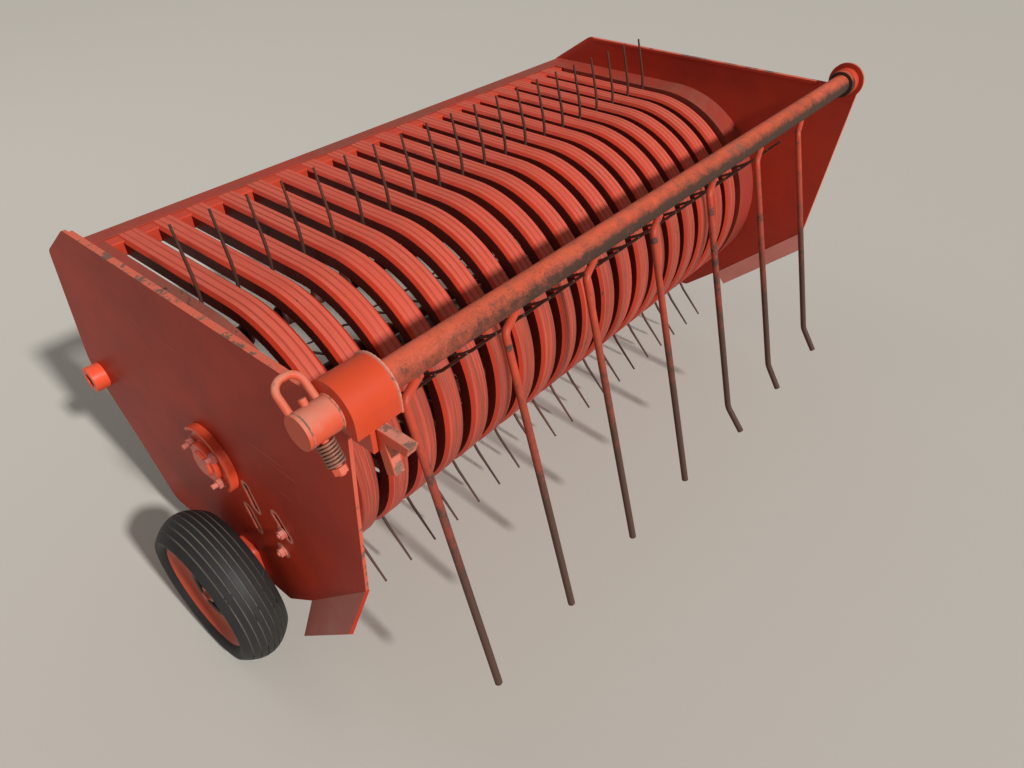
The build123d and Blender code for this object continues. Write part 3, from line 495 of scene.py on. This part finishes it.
# The order of the faces varies from run to run, so the outer side is told by the front-most face
front_face = min(bands.data.polygons, key=lambda face: face.center.y)
if front_face.normal.y > 0:
    bands.data.flip_normals()
# Across a band: crown, shoulder, side and crease faces; the sides and creases are painted shade
SHOULDER, SIDE, CREASE, GRIME_AND_SHADE = range(1, 5)
for face in bands.data.polygons:
    across = abs(face.center.x - first_band)
    if across > half - BAND_BEVEL / 4:
        face.material_index = SIDE
    elif across > half - BAND_BEVEL:
        face.material_index = SHOULDER
    elif abs(across - CREASE_AT) < CREASE_HALF:
        face.material_index = CREASE
crown_paint = coated(
    "rubbed_crown", coat=(0.59, 0.088, 0.052), shade=(0.56, 0.066, 0.034),
    bare=(0.20, 0.080, 0.05), dust=(0.55, 0.155, 0.105), chips=0.12, dusting=0.50,
    scratches=0.10, gloss=0.46, sheen=0.25, grain=(420.0, 5.0, 5.0),
    grain_tone=(0.26, 0.055, 0.034), speckles=0.26, soils=(("Normal", "Y", -0.72, -0.92),),
    soil=(0.20, 0.052, 0.034),
)
shoulder_paint = coated(
    "bright_shoulder", coat=(0.54, 0.040, 0.014), shade=(0.40, 0.032, 0.013),
    bare=(0.08, 0.032, 0.02), dust=(0.45, 0.11, 0.06), chips=0.28, dusting=0.25, scratches=0.05,
    gloss=0.40, sheen=0.25, film=0.4, speckles=0.40,
)
# The bands' bent-down sides in a much darker red, which is painted shade; shields and beams take it
# on their rounded edges
side_paint = coated(
    "band_sides", coat=(0.17, 0.013, 0.006), shade=(0.10, 0.010, 0.006),
    bare=(0.03, 0.013, 0.009), dust=(0.14, 0.06, 0.04), chips=0.34, dusting=0.12,
    scratches=0.05, gloss=0.55, sheen=0.15, speckles=0.3, fleck=(0.03, 0.015, 0.01),
)
# A darker red in the creases of the crowns: painted shade
crease_paint = coated(
    "crease_shade", coat=(0.46, 0.060, 0.034), shade=(0.30, 0.042, 0.025),
    bare=(0.10, 0.040, 0.028), dust=(0.42, 0.13, 0.09), chips=0.38, dusting=0.25, scratches=0.0,
    gloss=0.6, sheen=0.2,
)
# Near-black for the bands' insides: dirt and painted shade between the bands
grime_and_shade = coated(
    "grime_and_shade", coat=(0.030, 0.014, 0.010), shade=(0.018, 0.010, 0.008), bare=(0.05, 0.03, 0.02),
    dust=(0.05, 0.035, 0.025), chips=0.25, dusting=0.20, gloss=0.75, sheen=0.15,
)
paint(bands, "red_paint", crown_paint, shoulder_paint, side_paint, crease_paint, grime_and_shade)
# The sheet's inner shell takes the near-black of dirt and painted shade
sheet_metal = bands.modifiers.new("sheet", "SOLIDIFY")
sheet_metal.thickness = BAND_SHEET
sheet_metal.offset = -1.0
sheet_metal.material_offset = GRIME_AND_SHADE
bpy.ops.object.modifier_apply(modifier="sheet")
repeated(bands, BAND_COUNT, BAND_PITCH)
bpy.ops.object.shade_smooth_by_angle(angle=BAND_FACETS)
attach(bands, "header")
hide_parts("stripper_bands")

# End shields, rear beams and deck
# Wide bands that close the room beside the end gaps, and the square tubes and the folded sheet
# that carry the bands behind the reel. Chaff and dust lie on all of them.
shield_paint = coated(
    "dusty_shield", coat=(0.34, 0.040, 0.022), shade=(0.20, 0.032, 0.019),
    bare=(0.05, 0.026, 0.018), dust=(0.28, 0.13, 0.085), chips=0.32, dusting=0.45, gloss=0.55,
    speckles=0.3,
)
frame_paint = coated(
    "frame_enamel", coat=deep_red, shade=orange_red, bare=primer_brown, dust=chaff_dust,
    chips=0.22, dusting=0.35, gloss=0.42, film=0.45,
)
for node, radius, slot in (
    ("left_end_shield", 0.0005, "dusty_paint"),
    ("right_end_shield", 0.0005, "dusty_paint"),
    ("upper_rear_beam", 0.0020, "red_paint"),
    ("lower_rear_beam", 0.0020, "red_paint"),
    ("rear_deck", 0.0008, "dusty_paint"),
):
    piece = rounded_copy(node, radius)
    paint(piece, slot, shield_paint if slot == "dusty_paint" else frame_paint, side_paint)
    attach(piece, "header")

# Bearings and pivots
# Flanged reel bearings bolted to the plates, the guard ring round the left one, and the turned
# bosses of the two pivots on which the header floats.
# A lighter coat than the other red on the bearings and bosses: fresher paint and painted light
hub_paint_and_light = coated(
    "bright_lit_enamel", coat=(0.78, 0.085, 0.030), shade=(0.70, 0.080, 0.032),
    bare=(0.20, 0.11, 0.08), dust=chaff_dust, chips=0.18, dusting=0.30, gloss=0.36, film=0.35,
    speckles=0.2,
)
for node, radius in (
    ("left_bearing", 0.0020),
    ("right_bearing", 0.0020),
    ("left_bearing_ring", 0.0010),
    ("left_pivot_boss", 0.0015),
    ("right_pivot_boss", 0.0015),
):
    piece = rounded_copy(node, radius)
    paint(piece, "red_paint", hub_paint_and_light, edge_wear)
    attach(piece, "header")


# Bolts
# Hexagon nuts on threaded studs, painted over with the rest. Each nut is a six-sided blank on a
# washer, with its corners turned off and the stud's end standing out of it.
def chamfered(inset, rise):
    """Turns the corners off the picked end of a blank."""
    bpy.ops.mesh.inset(thickness=inset)
    bpy.ops.transform.translate(value=(0, 0, rise))


def nut(name, place, outward, width=0.018, height=0.010, stud=0.012):
    """A nut with its washer and stud end, its base at place and its axis along outward."""
    bpy.ops.object.select_all(action="DESELECT")
    bpy.ops.mesh.primitive_cylinder_add(
        vertices=6, radius=width / 2 / cos(pi / 6), depth=height,
        location=(0, 0, height / 2 + WASHER),
    )
    piece = bpy.context.object
    piece.name = name
    bpy.ops.object.transform_apply(location=True, rotation=True, scale=True)
    bpy.ops.object.mode_set(mode="EDIT")
    pick_faces(lambda middle, normal: normal.z > 0.9)
    chamfered(inset=0.0014, rise=0.0010)
    bpy.ops.mesh.primitive_cylinder_add(
        vertices=20, radius=width * WASHER_SHARE, depth=WASHER, location=(0, 0, WASHER / 2)
    )
    bpy.ops.mesh.primitive_cylinder_add(
        vertices=14, radius=width * STUD_SHARE, depth=stud, location=(0, 0, height + stud / 2)
    )
    pick_faces(lambda middle, normal: normal.z > 0.9 and middle.z > height + stud * 0.9)
    chamfered(inset=0.0010, rise=0.0008)
    bpy.ops.object.mode_set(mode="OBJECT")
    bpy.ops.object.shade_smooth_by_angle(angle=radians(25.0))
    turn = Vector(outward).to_track_quat("Z", "Y").to_matrix().to_4x4()
    piece.matrix_world = Matrix.Translation(place) @ turn
    bpy.ops.object.transform_apply(location=True, rotation=True, scale=True)
    return piece


def joined(name, pieces):
    """Several pieces as one mesh."""
    bpy.ops.object.select_all(action="DESELECT")
    for piece in pieces:
        piece.select_set(True)
    bpy.context.view_layer.objects.active = pieces[0]
    bpy.ops.object.join()
    pieces[0].name = name
    return pieces[0]


def around(axis, x, radius, angle):
    """The place at x, radius away from an axis along X, angle turned from +Y towards +Z."""
    return Vector((x, axis.y + radius * cos(angle), axis.z + radius * sin(angle)))


nut_paint = coated(
    "nut_enamel", coat=(0.58, 0.17, 0.12), shade=(0.50, 0.10, 0.07), bare=(0.24, 0.15, 0.12),
    dust=(0.52, 0.35, 0.28), chips=0.34, dusting=0.5, gloss=0.5,
)
WASHER = 0.002
WASHER_SHARE = 0.72
STUD_SHARE = 0.28
BEARING_FLANGE = 0.009
BEARING_BOLTS = 0.047
ARM_NUT_INSET = 0.016
AXLE_NUT_GAP = 0.001
LEFTWARDS = (-1, 0, 0)
bolts = []
for bearing_side, x in ((-1, -BEARING_FLANGE), (1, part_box("right_bearing")[0].x + BEARING_FLANGE)):
    for angle in (20.0, 140.0, 245.0):
        spot = around(reel_axis, x, BEARING_BOLTS, radians(angle))
        bolts.append(nut("bearing_nut", spot, (bearing_side, 0, 0)))
for y, z in PLATE_NUTS:
    spot = reel_axis + Vector((-reel_axis.x, y, z))
    bolts.append(nut("plate_nut", spot, LEFTWARDS, width=0.015, height=0.008, stud=0.004))
arm_low, arm_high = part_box("wheel_arm")
for y in (arm_low.y + ARM_NUT_INSET, arm_high.y - ARM_NUT_INSET):
    spot = Vector((arm_low.x, y, arm_high.z - ARM_NUT_INSET))
    bolts.append(nut("arm_nut", spot, LEFTWARDS, width=0.019))
hub_low, hub_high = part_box("wheel_hub")
wheel_middle = (hub_low + hub_high) / 2
spot = Vector((hub_low.x - AXLE_NUT_GAP, wheel_middle.y, wheel_middle.z))
bolts.append(nut("axle_nut", spot, LEFTWARDS, width=0.032, height=0.014, stud=0.008))
plate_bolts = joined("plate_bolts", bolts)
paint(plate_bolts, "red_paint", nut_paint)
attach(plate_bolts, "header")

# Reel
# A steel shaft with three four-armed spiders that carry the tubular tine bars, and the drive
# sprocket at its right end. Paint is long gone from what the crop rubs. The spiders and bars
# are near-black: rust and painted shade inside the reel.
# Near-black for the spiders and bars: rust and painted shade inside the reel
bar_rust_and_shade = coated(
    "rubbed_shaded_bars", coat=(0.10, 0.030, 0.020), shade=(0.06, 0.026, 0.018),
    bare=(0.05, 0.032, 0.025), dust=(0.12, 0.08, 0.055), chips=0.5, dusting=0.3, gloss=0.6,
)
steel = coated(
    "dull_steel", coat=(0.26, 0.23, 0.20), shade=(0.17, 0.13, 0.11), bare=(0.09, 0.05, 0.035),
    dust=chaff_dust, chips=0.45, dusting=0.3, gloss=0.42, metal=0.6,
)
for node, radius, slot, finish in (
    ("reel_shaft", 0.0015, "bare_steel", steel),
    ("left_reel_spider", 0.0008, "red_paint", bar_rust_and_shade),
    ("middle_reel_spider", 0.0008, "red_paint", bar_rust_and_shade),
    ("right_reel_spider", 0.0008, "red_paint", bar_rust_and_shade),
    ("tine_bars", 0.0008, "red_paint", bar_rust_and_shade),
    ("reel_sprocket", 0.0010, "bare_steel", steel),
):
    piece = rounded_copy(node, radius)
    paint(piece, slot, finish, edge_wear if slot == "red_paint" else steel)
    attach(piece, "reel")

# Spring tines
# Each double tine is one rusty spring wire: a kinked finger, a coil round the bar, a bridge along
# the bar, and the same again mirrored. The tips are worn to a blunt point.
WIRE = 0.0066
FINGER_ROOT = 0.150
FINGER_TIP = 0.100
FINGER_KINK = radians(-15.0)
KINK_OUTER = 0.12
KINK_INNER = 0.08
TIP_SHARE = 0.70
COIL_RADIUS = 0.018
COIL_TURNS = 3.25
COIL_STEPS = 14
BAR_RADIUS = 0.160
# Where each row's bar stands round the reel and where its fingers point, in degrees
ROWS = ((60.0, 91.0), (150.0, 149.0), (240.0, 241.0), (330.0, 340.0))
first_gap = first_band - BAND_PITCH / 2


def finger_places(x, towards):
    """From the tip, along the finger and round the coil, which winds towards the other finger."""
    root = Vector((x, 0.0, COIL_RADIUS))
    kink = root + Vector((0, FINGER_ROOT, 0))
    tip = kink + Vector((0, cos(FINGER_KINK), sin(FINGER_KINK))) * FINGER_TIP
    after_kink = kink + (tip - kink) * KINK_OUTER
    before_kink = kink + (root - kink) * KINK_INNER
    places = [tip, after_kink, before_kink, root]
    for step in range(1, int(COIL_TURNS * COIL_STEPS) + 1):
        angle = pi / 2 + 2 * pi * step / COIL_STEPS
        across = x + towards * WIRE * step / COIL_STEPS
        places.append(Vector((across, COIL_RADIUS * cos(angle), COIL_RADIUS * sin(angle))))
    return places


def round_wire(name, places, radius, shares, resolution=2, smooth=60.0, closed=False):
    """A round wire through places, as a mesh. Each of shares is a place's share of the radius."""
    curve = bpy.data.curves.new(name, "CURVE")
    curve.dimensions = "3D"
    curve.bevel_depth = radius
    curve.bevel_resolution = resolution
    curve.use_fill_caps = True
    line = curve.splines.new("POLY")
    line.points.add(len(places) - 1)
    for spot, place, share in zip(line.points, places, shares):
        spot.co = (*place, 1.0)
        spot.radius = share
    line.use_cyclic_u = closed
    piece = bpy.data.objects.new(name, curve)
    bpy.context.scene.collection.objects.link(piece)
    activate(piece)
    bpy.ops.object.convert(target="MESH")
    bpy.ops.object.shade_smooth_by_angle(angle=radians(smooth))
    return bpy.context.object


wire_places = finger_places(0.0, 1) + finger_places(BAND_PITCH, -1)[::-1]
wire_shares = [TIP_SHARE] + [1.0] * (len(wire_places) - 2) + [TIP_SHARE]
wire_rust = coated(
    "tine_rust", coat=(0.046, 0.029, 0.023), shade=(0.105, 0.032, 0.020),
    bare=(0.080, 0.060, 0.050), dust=(0.11, 0.075, 0.055), chips=0.30, dusting=0.20, gloss=0.55,
    metal=0.2,
)
for number, (bar_angle, finger_angle) in enumerate(ROWS, start=1):
    tine_row = round_wire(f"tines_row_{number}", wire_places, WIRE / 2, wire_shares)
    repeated(tine_row, (BAND_COUNT + 1) // 2, 2 * BAND_PITCH)
    tine_row.rotation_euler = (radians(finger_angle), 0, 0)
    tine_row.location = around(reel_axis, first_gap, BAR_RADIUS, radians(bar_angle))
    bpy.ops.object.transform_apply(location=True, rotation=True, scale=True)
    paint(tine_row, "spring_wire", wire_rust)
    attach(tine_row, "reel")
    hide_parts(f"spring_tines_row_{number}")


# Gauge wheel
# A small ribbed tyre on a pressed rim, which runs on an axle in an arm bolted to the left plate.
# Both are turned shapes: their sections are drawn and then spun round the axle.
def turned(name, centre, outline, steps=72):
    """A section of (along the axle, radius) rows, spun round the X axis through centre."""
    piece = traced_line(name, [(centre.x + x, centre.y, centre.z + r) for x, r in outline])
    bpy.ops.object.mode_set(mode="EDIT")
    bpy.ops.mesh.select_all(action="SELECT")
    bpy.ops.mesh.spin(steps=steps, angle=2 * pi, center=centre, axis=(1, 0, 0))
    bpy.ops.mesh.select_all(action="SELECT")
    bpy.ops.mesh.remove_doubles(threshold=0.00002)
    bpy.ops.mesh.normals_make_consistent(inside=False)
    bpy.ops.object.mode_set(mode="OBJECT")
    bpy.ops.object.shade_smooth_by_angle(angle=radians(32.0))
    return piece


def crown(x):
    """The tyre's radius at x from its middle, apart from its grooves."""
    return TYRE_RADIUS - CROWN_DROP * (x / HALF_TYRE) ** 2


wheel_axis = (wheel_low + wheel_high) / 2
TYRE_RADIUS = (wheel_high.z - wheel_low.z) / 2
HALF_TYRE = (wheel_high.x - wheel_low.x) / 2
rim_low, rim_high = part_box("wheel_rim")
HALF_RIM = (rim_high.x - rim_low.x) / 2
RIM_RADIUS = (rim_high.z - rim_low.z) / 2
RIB_COUNT = 6
GROOVE_DEPTH = 0.0035
GROOVE_HALF = 0.0012
GROOVE_SECTION = ((-1.0, 0), (-0.6, 1), (0.6, 1), (1.0, 0))
GROOVE_DUSTY = 0.4
GROOVE_FINISH = 1
TREAD_HALF = 0.036
CROWN_DROP = 0.026
# From the bead inside the rim, out over its flange and up the sidewall
tyre_half = [
    (-HALF_RIM + 0.006, RIM_RADIUS - 0.010),
    (-HALF_RIM + 0.004, RIM_RADIUS + 0.001),
    (-HALF_RIM - 0.001, RIM_RADIUS + 0.006),
    (-HALF_TYRE + 0.006, RIM_RADIUS + 0.010),
    (-HALF_TYRE + 0.001, RIM_RADIUS + 0.017),
    (-HALF_TYRE, TYRE_RADIUS - CROWN_DROP),
]
for share in (0.97, 0.92, 0.85, 0.78):
    tyre_half.append((-HALF_TYRE * share, crown(HALF_TYRE * share)))
tread = []
for groove in range(RIB_COUNT + 1):
    middle = -TREAD_HALF + 2 * TREAD_HALF * groove / RIB_COUNT
    for side, deep in GROOVE_SECTION:
        x = middle + side * GROOVE_HALF
        tread.append((x, crown(x) - deep * GROOVE_DEPTH))
tyre_outline = tyre_half + tread + [(-x, r) for x, r in tyre_half[::-1]]
tyre = turned("ribbed_tyre", wheel_axis, tyre_outline, steps=96)
rubber = coated(
    "dusty_rubber", coat=(0.014, 0.013, 0.013), shade=(0.026, 0.024, 0.022),
    bare=(0.085, 0.075, 0.060), dust=(0.085, 0.076, 0.062), chips=0.24, dusting=0.34,
    scratches=0.45, gloss=0.60, speckles=0.15, fleck=(0.10, 0.09, 0.075),
)
groove_dust = coated(
    "groove_dust", coat=(0.20, 0.175, 0.14), shade=(0.075, 0.066, 0.055),
    bare=(0.03, 0.028, 0.026), dust=(0.24, 0.21, 0.17), chips=0.46, dusting=0.3, gloss=0.8,
    sheen=0.15,
)
for face in tyre.data.polygons:
    spoke = face.center - wheel_axis
    radius = Vector((spoke.y, spoke.z)).length
    dusty_below = crown(spoke.x) - GROOVE_DUSTY * GROOVE_DEPTH
    if abs(spoke.x) < TREAD_HALF + GROOVE_HALF and radius < dusty_below:
        face.material_index = GROOVE_FINISH
paint(tyre, "tyre_rubber", rubber, groove_dust)
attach(tyre, "gauge_wheel")
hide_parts("wheel_tyre")

# From the outer flange, down into the dish and round the hub's hole, then back along the well
rim_outline = [
    (-HALF_RIM - 0.001, RIM_RADIUS + 0.003),
    (-HALF_RIM - 0.003, RIM_RADIUS),
    (-HALF_RIM + 0.001, RIM_RADIUS - 0.006),
    (-HALF_RIM + 0.008, RIM_RADIUS - 0.014),
    (-HALF_RIM + 0.012, RIM_RADIUS - 0.022),
    (-HALF_RIM + 0.011, 0.062),
    (-HALF_RIM + 0.008, 0.050),
    (-HALF_RIM + 0.010, 0.044),
    (-HALF_RIM + 0.028, 0.040),
    (-HALF_RIM + 0.030, 0.026),
    (-HALF_RIM + 0.034, 0.026),
    (-HALF_RIM + 0.033, 0.044),
    (-HALF_RIM + 0.016, 0.050),
    (-HALF_RIM + 0.016, RIM_RADIUS - 0.024),
    (HALF_RIM - 0.010, RIM_RADIUS - 0.022),
    (HALF_RIM - 0.002, RIM_RADIUS - 0.008),
    (HALF_RIM + 0.002, RIM_RADIUS),
    (HALF_RIM, RIM_RADIUS + 0.003),
    (HALF_RIM - 0.003, RIM_RADIUS),
    (HALF_RIM - 0.010, RIM_RADIUS - 0.016),
    (-HALF_RIM + 0.010, RIM_RADIUS - 0.016),
    (-HALF_RIM + 0.002, RIM_RADIUS),
    (-HALF_RIM - 0.001, RIM_RADIUS + 0.003),
]
rim = turned("pressed_rim", wheel_axis, rim_outline)
rim_paint = coated(
    "rim_enamel", coat=(0.50, 0.070, 0.030), shade=(0.40, 0.055, 0.026),
    bare=(0.10, 0.045, 0.030), dust=(0.30, 0.17, 0.12), chips=0.26, dusting=0.40, gloss=0.48,
)
# Near-black for the hub and the dish round it: painted shade in the recess
hub_shade = coated(
    "hub_dish_shade", coat=(0.035, 0.022, 0.018), shade=(0.060, 0.035, 0.026),
    bare=(0.12, 0.08, 0.06), dust=(0.16, 0.11, 0.08), chips=0.35, dusting=0.35, gloss=0.5,
)
# Rim faces inside the dish's mouth take that painted shade
DISH_MOUTH = 0.048
DISH_FINISH = 1
for face in rim.data.polygons:
    spoke = face.center - wheel_axis
    if Vector((spoke.y, spoke.z)).length < DISH_MOUTH:
        face.material_index = DISH_FINISH
paint(rim, "rim_paint", rim_paint, hub_shade)
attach(rim, "gauge_wheel")
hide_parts("wheel_rim")
hub = rounded_copy("wheel_hub", radius=0.0015)
paint(hub, "rim_paint", hub_shade, hub_shade)
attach(hub, "gauge_wheel")
for node, slot, finish, edge in (
    ("wheel_arm", "red_paint", frame_paint, edge_wear),
    ("wheel_axle", "bare_steel", steel, steel),
):
    piece = rounded_copy(node, radius=0.0015)
    paint(piece, slot, finish, edge)
    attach(piece, "header")

# Guard saddle and latch
# A half-round shell welded over the left plate's front corner carries the guard tube. A sleeve
# on its outer end has a bent handle and holds the latch pin and its return spring.
saddle_paint = coated(
    "saddle_enamel", coat=(0.60, 0.066, 0.020), shade=(0.54, 0.056, 0.020),
    bare=(0.20, 0.10, 0.07), dust=(0.58, 0.20, 0.12), chips=0.12, dusting=0.22, scratches=0.16,
    gloss=0.45, film=0.4, sheen=0.2, speckles=0.14,
)
sleeve_paint = coated(
    "dusty_enamel", coat=(0.64, 0.125, 0.070), shade=(0.62, 0.085, 0.036),
    bare=(0.20, 0.10, 0.07), dust=(0.50, 0.34, 0.25), chips=0.26, dusting=0.55, gloss=0.5,
    sheen=0.2, speckles=0.28,
)
scuffed_paint = coated(
    "scuffed_edges", coat=(0.56, 0.24, 0.18), shade=(0.60, 0.14, 0.085),
    bare=(0.22, 0.12, 0.085), dust=(0.50, 0.36, 0.28), chips=0.60, dusting=0.5, gloss=0.6,
    sheen=0.2, speckles=0.45,
)
for node, radius, slot, finish in (
    ("guard_saddle", 0.0015, "red_paint", saddle_paint),
    ("saddle_foot", 0.0015, "red_paint", frame_paint),
    ("latch_sleeve", 0.0015, "red_paint", sleeve_paint),
    ("latch_pin", 0.0008, "red_paint", sleeve_paint),
    ("fork_plate", 0.0012, "worn_paint", sleeve_paint),
    ("right_guard_bush", 0.0015, "worn_paint", frame_paint),
):
    piece = rounded_copy(node, radius)
    if node == "fork_plate":
        bare_edges(piece)
    paint(piece, slot, finish, scuffed_paint)
    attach(piece, "header")

# Saddle welds
# Beads of weld metal along the worn right end of the shell, round the root of the sleeve and round
# the cap at its outer end. Each is a row of overlapping drops.
DROP = 0.0035
THIN_DROP = 0.78
SHELL_RADIUS = 0.042
SHELL_INSET = 0.0016
SLEEVE_RADIUS = 0.0235
CAP_INSET = 0.006


def bead(name, places, radius, closed=False):
    """A weld bead along places, thicker and thinner from drop to drop."""
    shares = [1.0 if number % 2 else THIN_DROP for number in range(len(places))]
    return round_wire(name, places, radius, shares, resolution=1, smooth=50.0, closed=closed)


guard_axis = joint_place("wind_guard_swing")
saddle_low, saddle_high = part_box("guard_saddle")
shell_x = saddle_high.x - SHELL_INSET
flank_drops = int((guard_axis.z - saddle_low.z) / DROP)
arc_drops = int(pi * SHELL_RADIUS / DROP)
shell_end = []
for drop in range(flank_drops):
    shell_end.append((shell_x, guard_axis.y - SHELL_RADIUS, saddle_low.z + drop * DROP))
for drop in range(arc_drops + 1):
    shell_end.append(around(guard_axis, shell_x, SHELL_RADIUS, pi - pi * drop / arc_drops))
for drop in range(flank_drops):
    shell_end.append((shell_x, guard_axis.y + SHELL_RADIUS, guard_axis.z - (drop + 1) * DROP))
rings = []
ring_drops = int(2 * pi * SLEEVE_RADIUS / DROP)
for x in (saddle_low.x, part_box("latch_sleeve")[0].x + CAP_INSET):
    angles = [2 * pi * drop / ring_drops for drop in range(ring_drops)]
    rings.append([around(guard_axis, x, SLEEVE_RADIUS, angle) for angle in angles])
saddle_welds = joined("saddle_welds", [
    bead("shell_end", shell_end, radius=0.0026),
    bead("sleeve_root", rings[0], radius=0.0028, closed=True),
    bead("cap_seam", rings[1], radius=0.0014, closed=True),
])
paint(saddle_welds, "red_paint", scuffed_paint)
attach(saddle_welds, "header")

# Latch spring
# A return spring of 3 mm wire round the latch pin, closed at both ends. The pin leans forward, and
# the spring with it.
spring_low, spring_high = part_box("latch_spring")
SPRING_WIRE = 0.003
SPRING_LENGTH = 0.034
SPRING_TURNS = 7
SPRING_STEPS = 16
PIN_TILT = radians(30.0)
spring_radius = (spring_high.x - spring_low.x) / 2 - SPRING_WIRE / 2
spring_places = []
for step in range(SPRING_TURNS * SPRING_STEPS + 1):
    angle = 2 * pi * step / SPRING_STEPS
    rise = (SPRING_LENGTH - SPRING_WIRE) * (step / (SPRING_TURNS * SPRING_STEPS) - 0.5)
    spring_places.append((spring_radius * cos(angle), spring_radius * sin(angle), rise))
spring_shares = [1.0] * len(spring_places)
latch_coil = round_wire("latch_coil", spring_places, SPRING_WIRE / 2, spring_shares)
latch_coil.rotation_euler = (-PIN_TILT, 0, 0)
latch_coil.location = (spring_low + spring_high) / 2
bpy.ops.object.transform_apply(location=True, rotation=True, scale=True)
spring_rust = coated(
    "spring_rust", coat=(0.16, 0.075, 0.05), shade=(0.30, 0.15, 0.10), bare=(0.08, 0.05, 0.04),
    dust=(0.40, 0.27, 0.20), chips=0.3, dusting=0.5, gloss=0.5, metal=0.2,
)
paint(latch_coil, "bare_steel", spring_rust)
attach(latch_coil, "header")
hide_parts("latch_spring")

# Wind guard
# A steel tube across the front, turning in the saddle and the right bush, with seven round rods
# welded under it. Hay has polished the tube's middle and the rods down to brown steel.
ROD_COUNT = 7
ROD_PITCH = 0.1912
FIRST_ROD = 0.083
ROD_LEG = 0.040
ROD_FLANK = 0.0050
TUBE_UNDERSIDE = 0.0225
ROD_DROPS = 8
ROD_CLEAN = 0.06
ROD_SOILED = 0.34
rod_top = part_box("guard_rods")[1].z
tube_paint = coated(
    "tube_enamel", coat=(0.62, 0.115, 0.058), shade=(0.60, 0.085, 0.034),
    bare=(0.19, 0.085, 0.055), dust=(0.50, 0.21, 0.14), chips=0.36, dusting=0.40, gloss=0.5,
    sheen=0.2, speckles=0.50, soils=(("Normal", "Z", 1.00, 0.20), ("Object", "X", -0.20, 0.45)),
    soil=(0.058, 0.029, 0.019),
)
rod_paint = coated(
    "rod_enamel", coat=(0.56, 0.060, 0.024), shade=(0.40, 0.050, 0.026),
    bare=(0.085, 0.045, 0.032), dust=(0.26, 0.13, 0.09), chips=0.46, dusting=0.20, gloss=0.5,
    sheen=0.25, speckles=0.36, soils=(("Object", "Z", rod_top - ROD_CLEAN, rod_top - ROD_SOILED),),
    soil=(0.080, 0.040, 0.028),
)
for node, radius, finish in (
    ("guard_tube", 0.0010, tube_paint),
    ("guard_collar", 0.0012, tube_paint),
    ("guard_rods", 0.0010, rod_paint),
):
    piece = rounded_copy(node, radius)
    paint(piece, "worn_paint", finish, edge_wear)
    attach(piece, "wind_guard")
rod_beads = []
for rod in range(ROD_COUNT):
    bead_start = FIRST_ROD + ROD_PITCH * rod + ROD_LEG
    for side in (-1, 1):
        y = guard_axis.y + side * ROD_FLANK
        z = guard_axis.z - TUBE_UNDERSIDE
        places = [(bead_start - drop * DROP, y, z) for drop in range(ROD_DROPS)]
        rod_beads.append(bead("rod_bead", places, radius=0.0024))
rod_welds = joined("rod_welds", rod_beads)
paint(rod_welds, "worn_paint", rod_paint)
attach(rod_welds, "wind_guard")
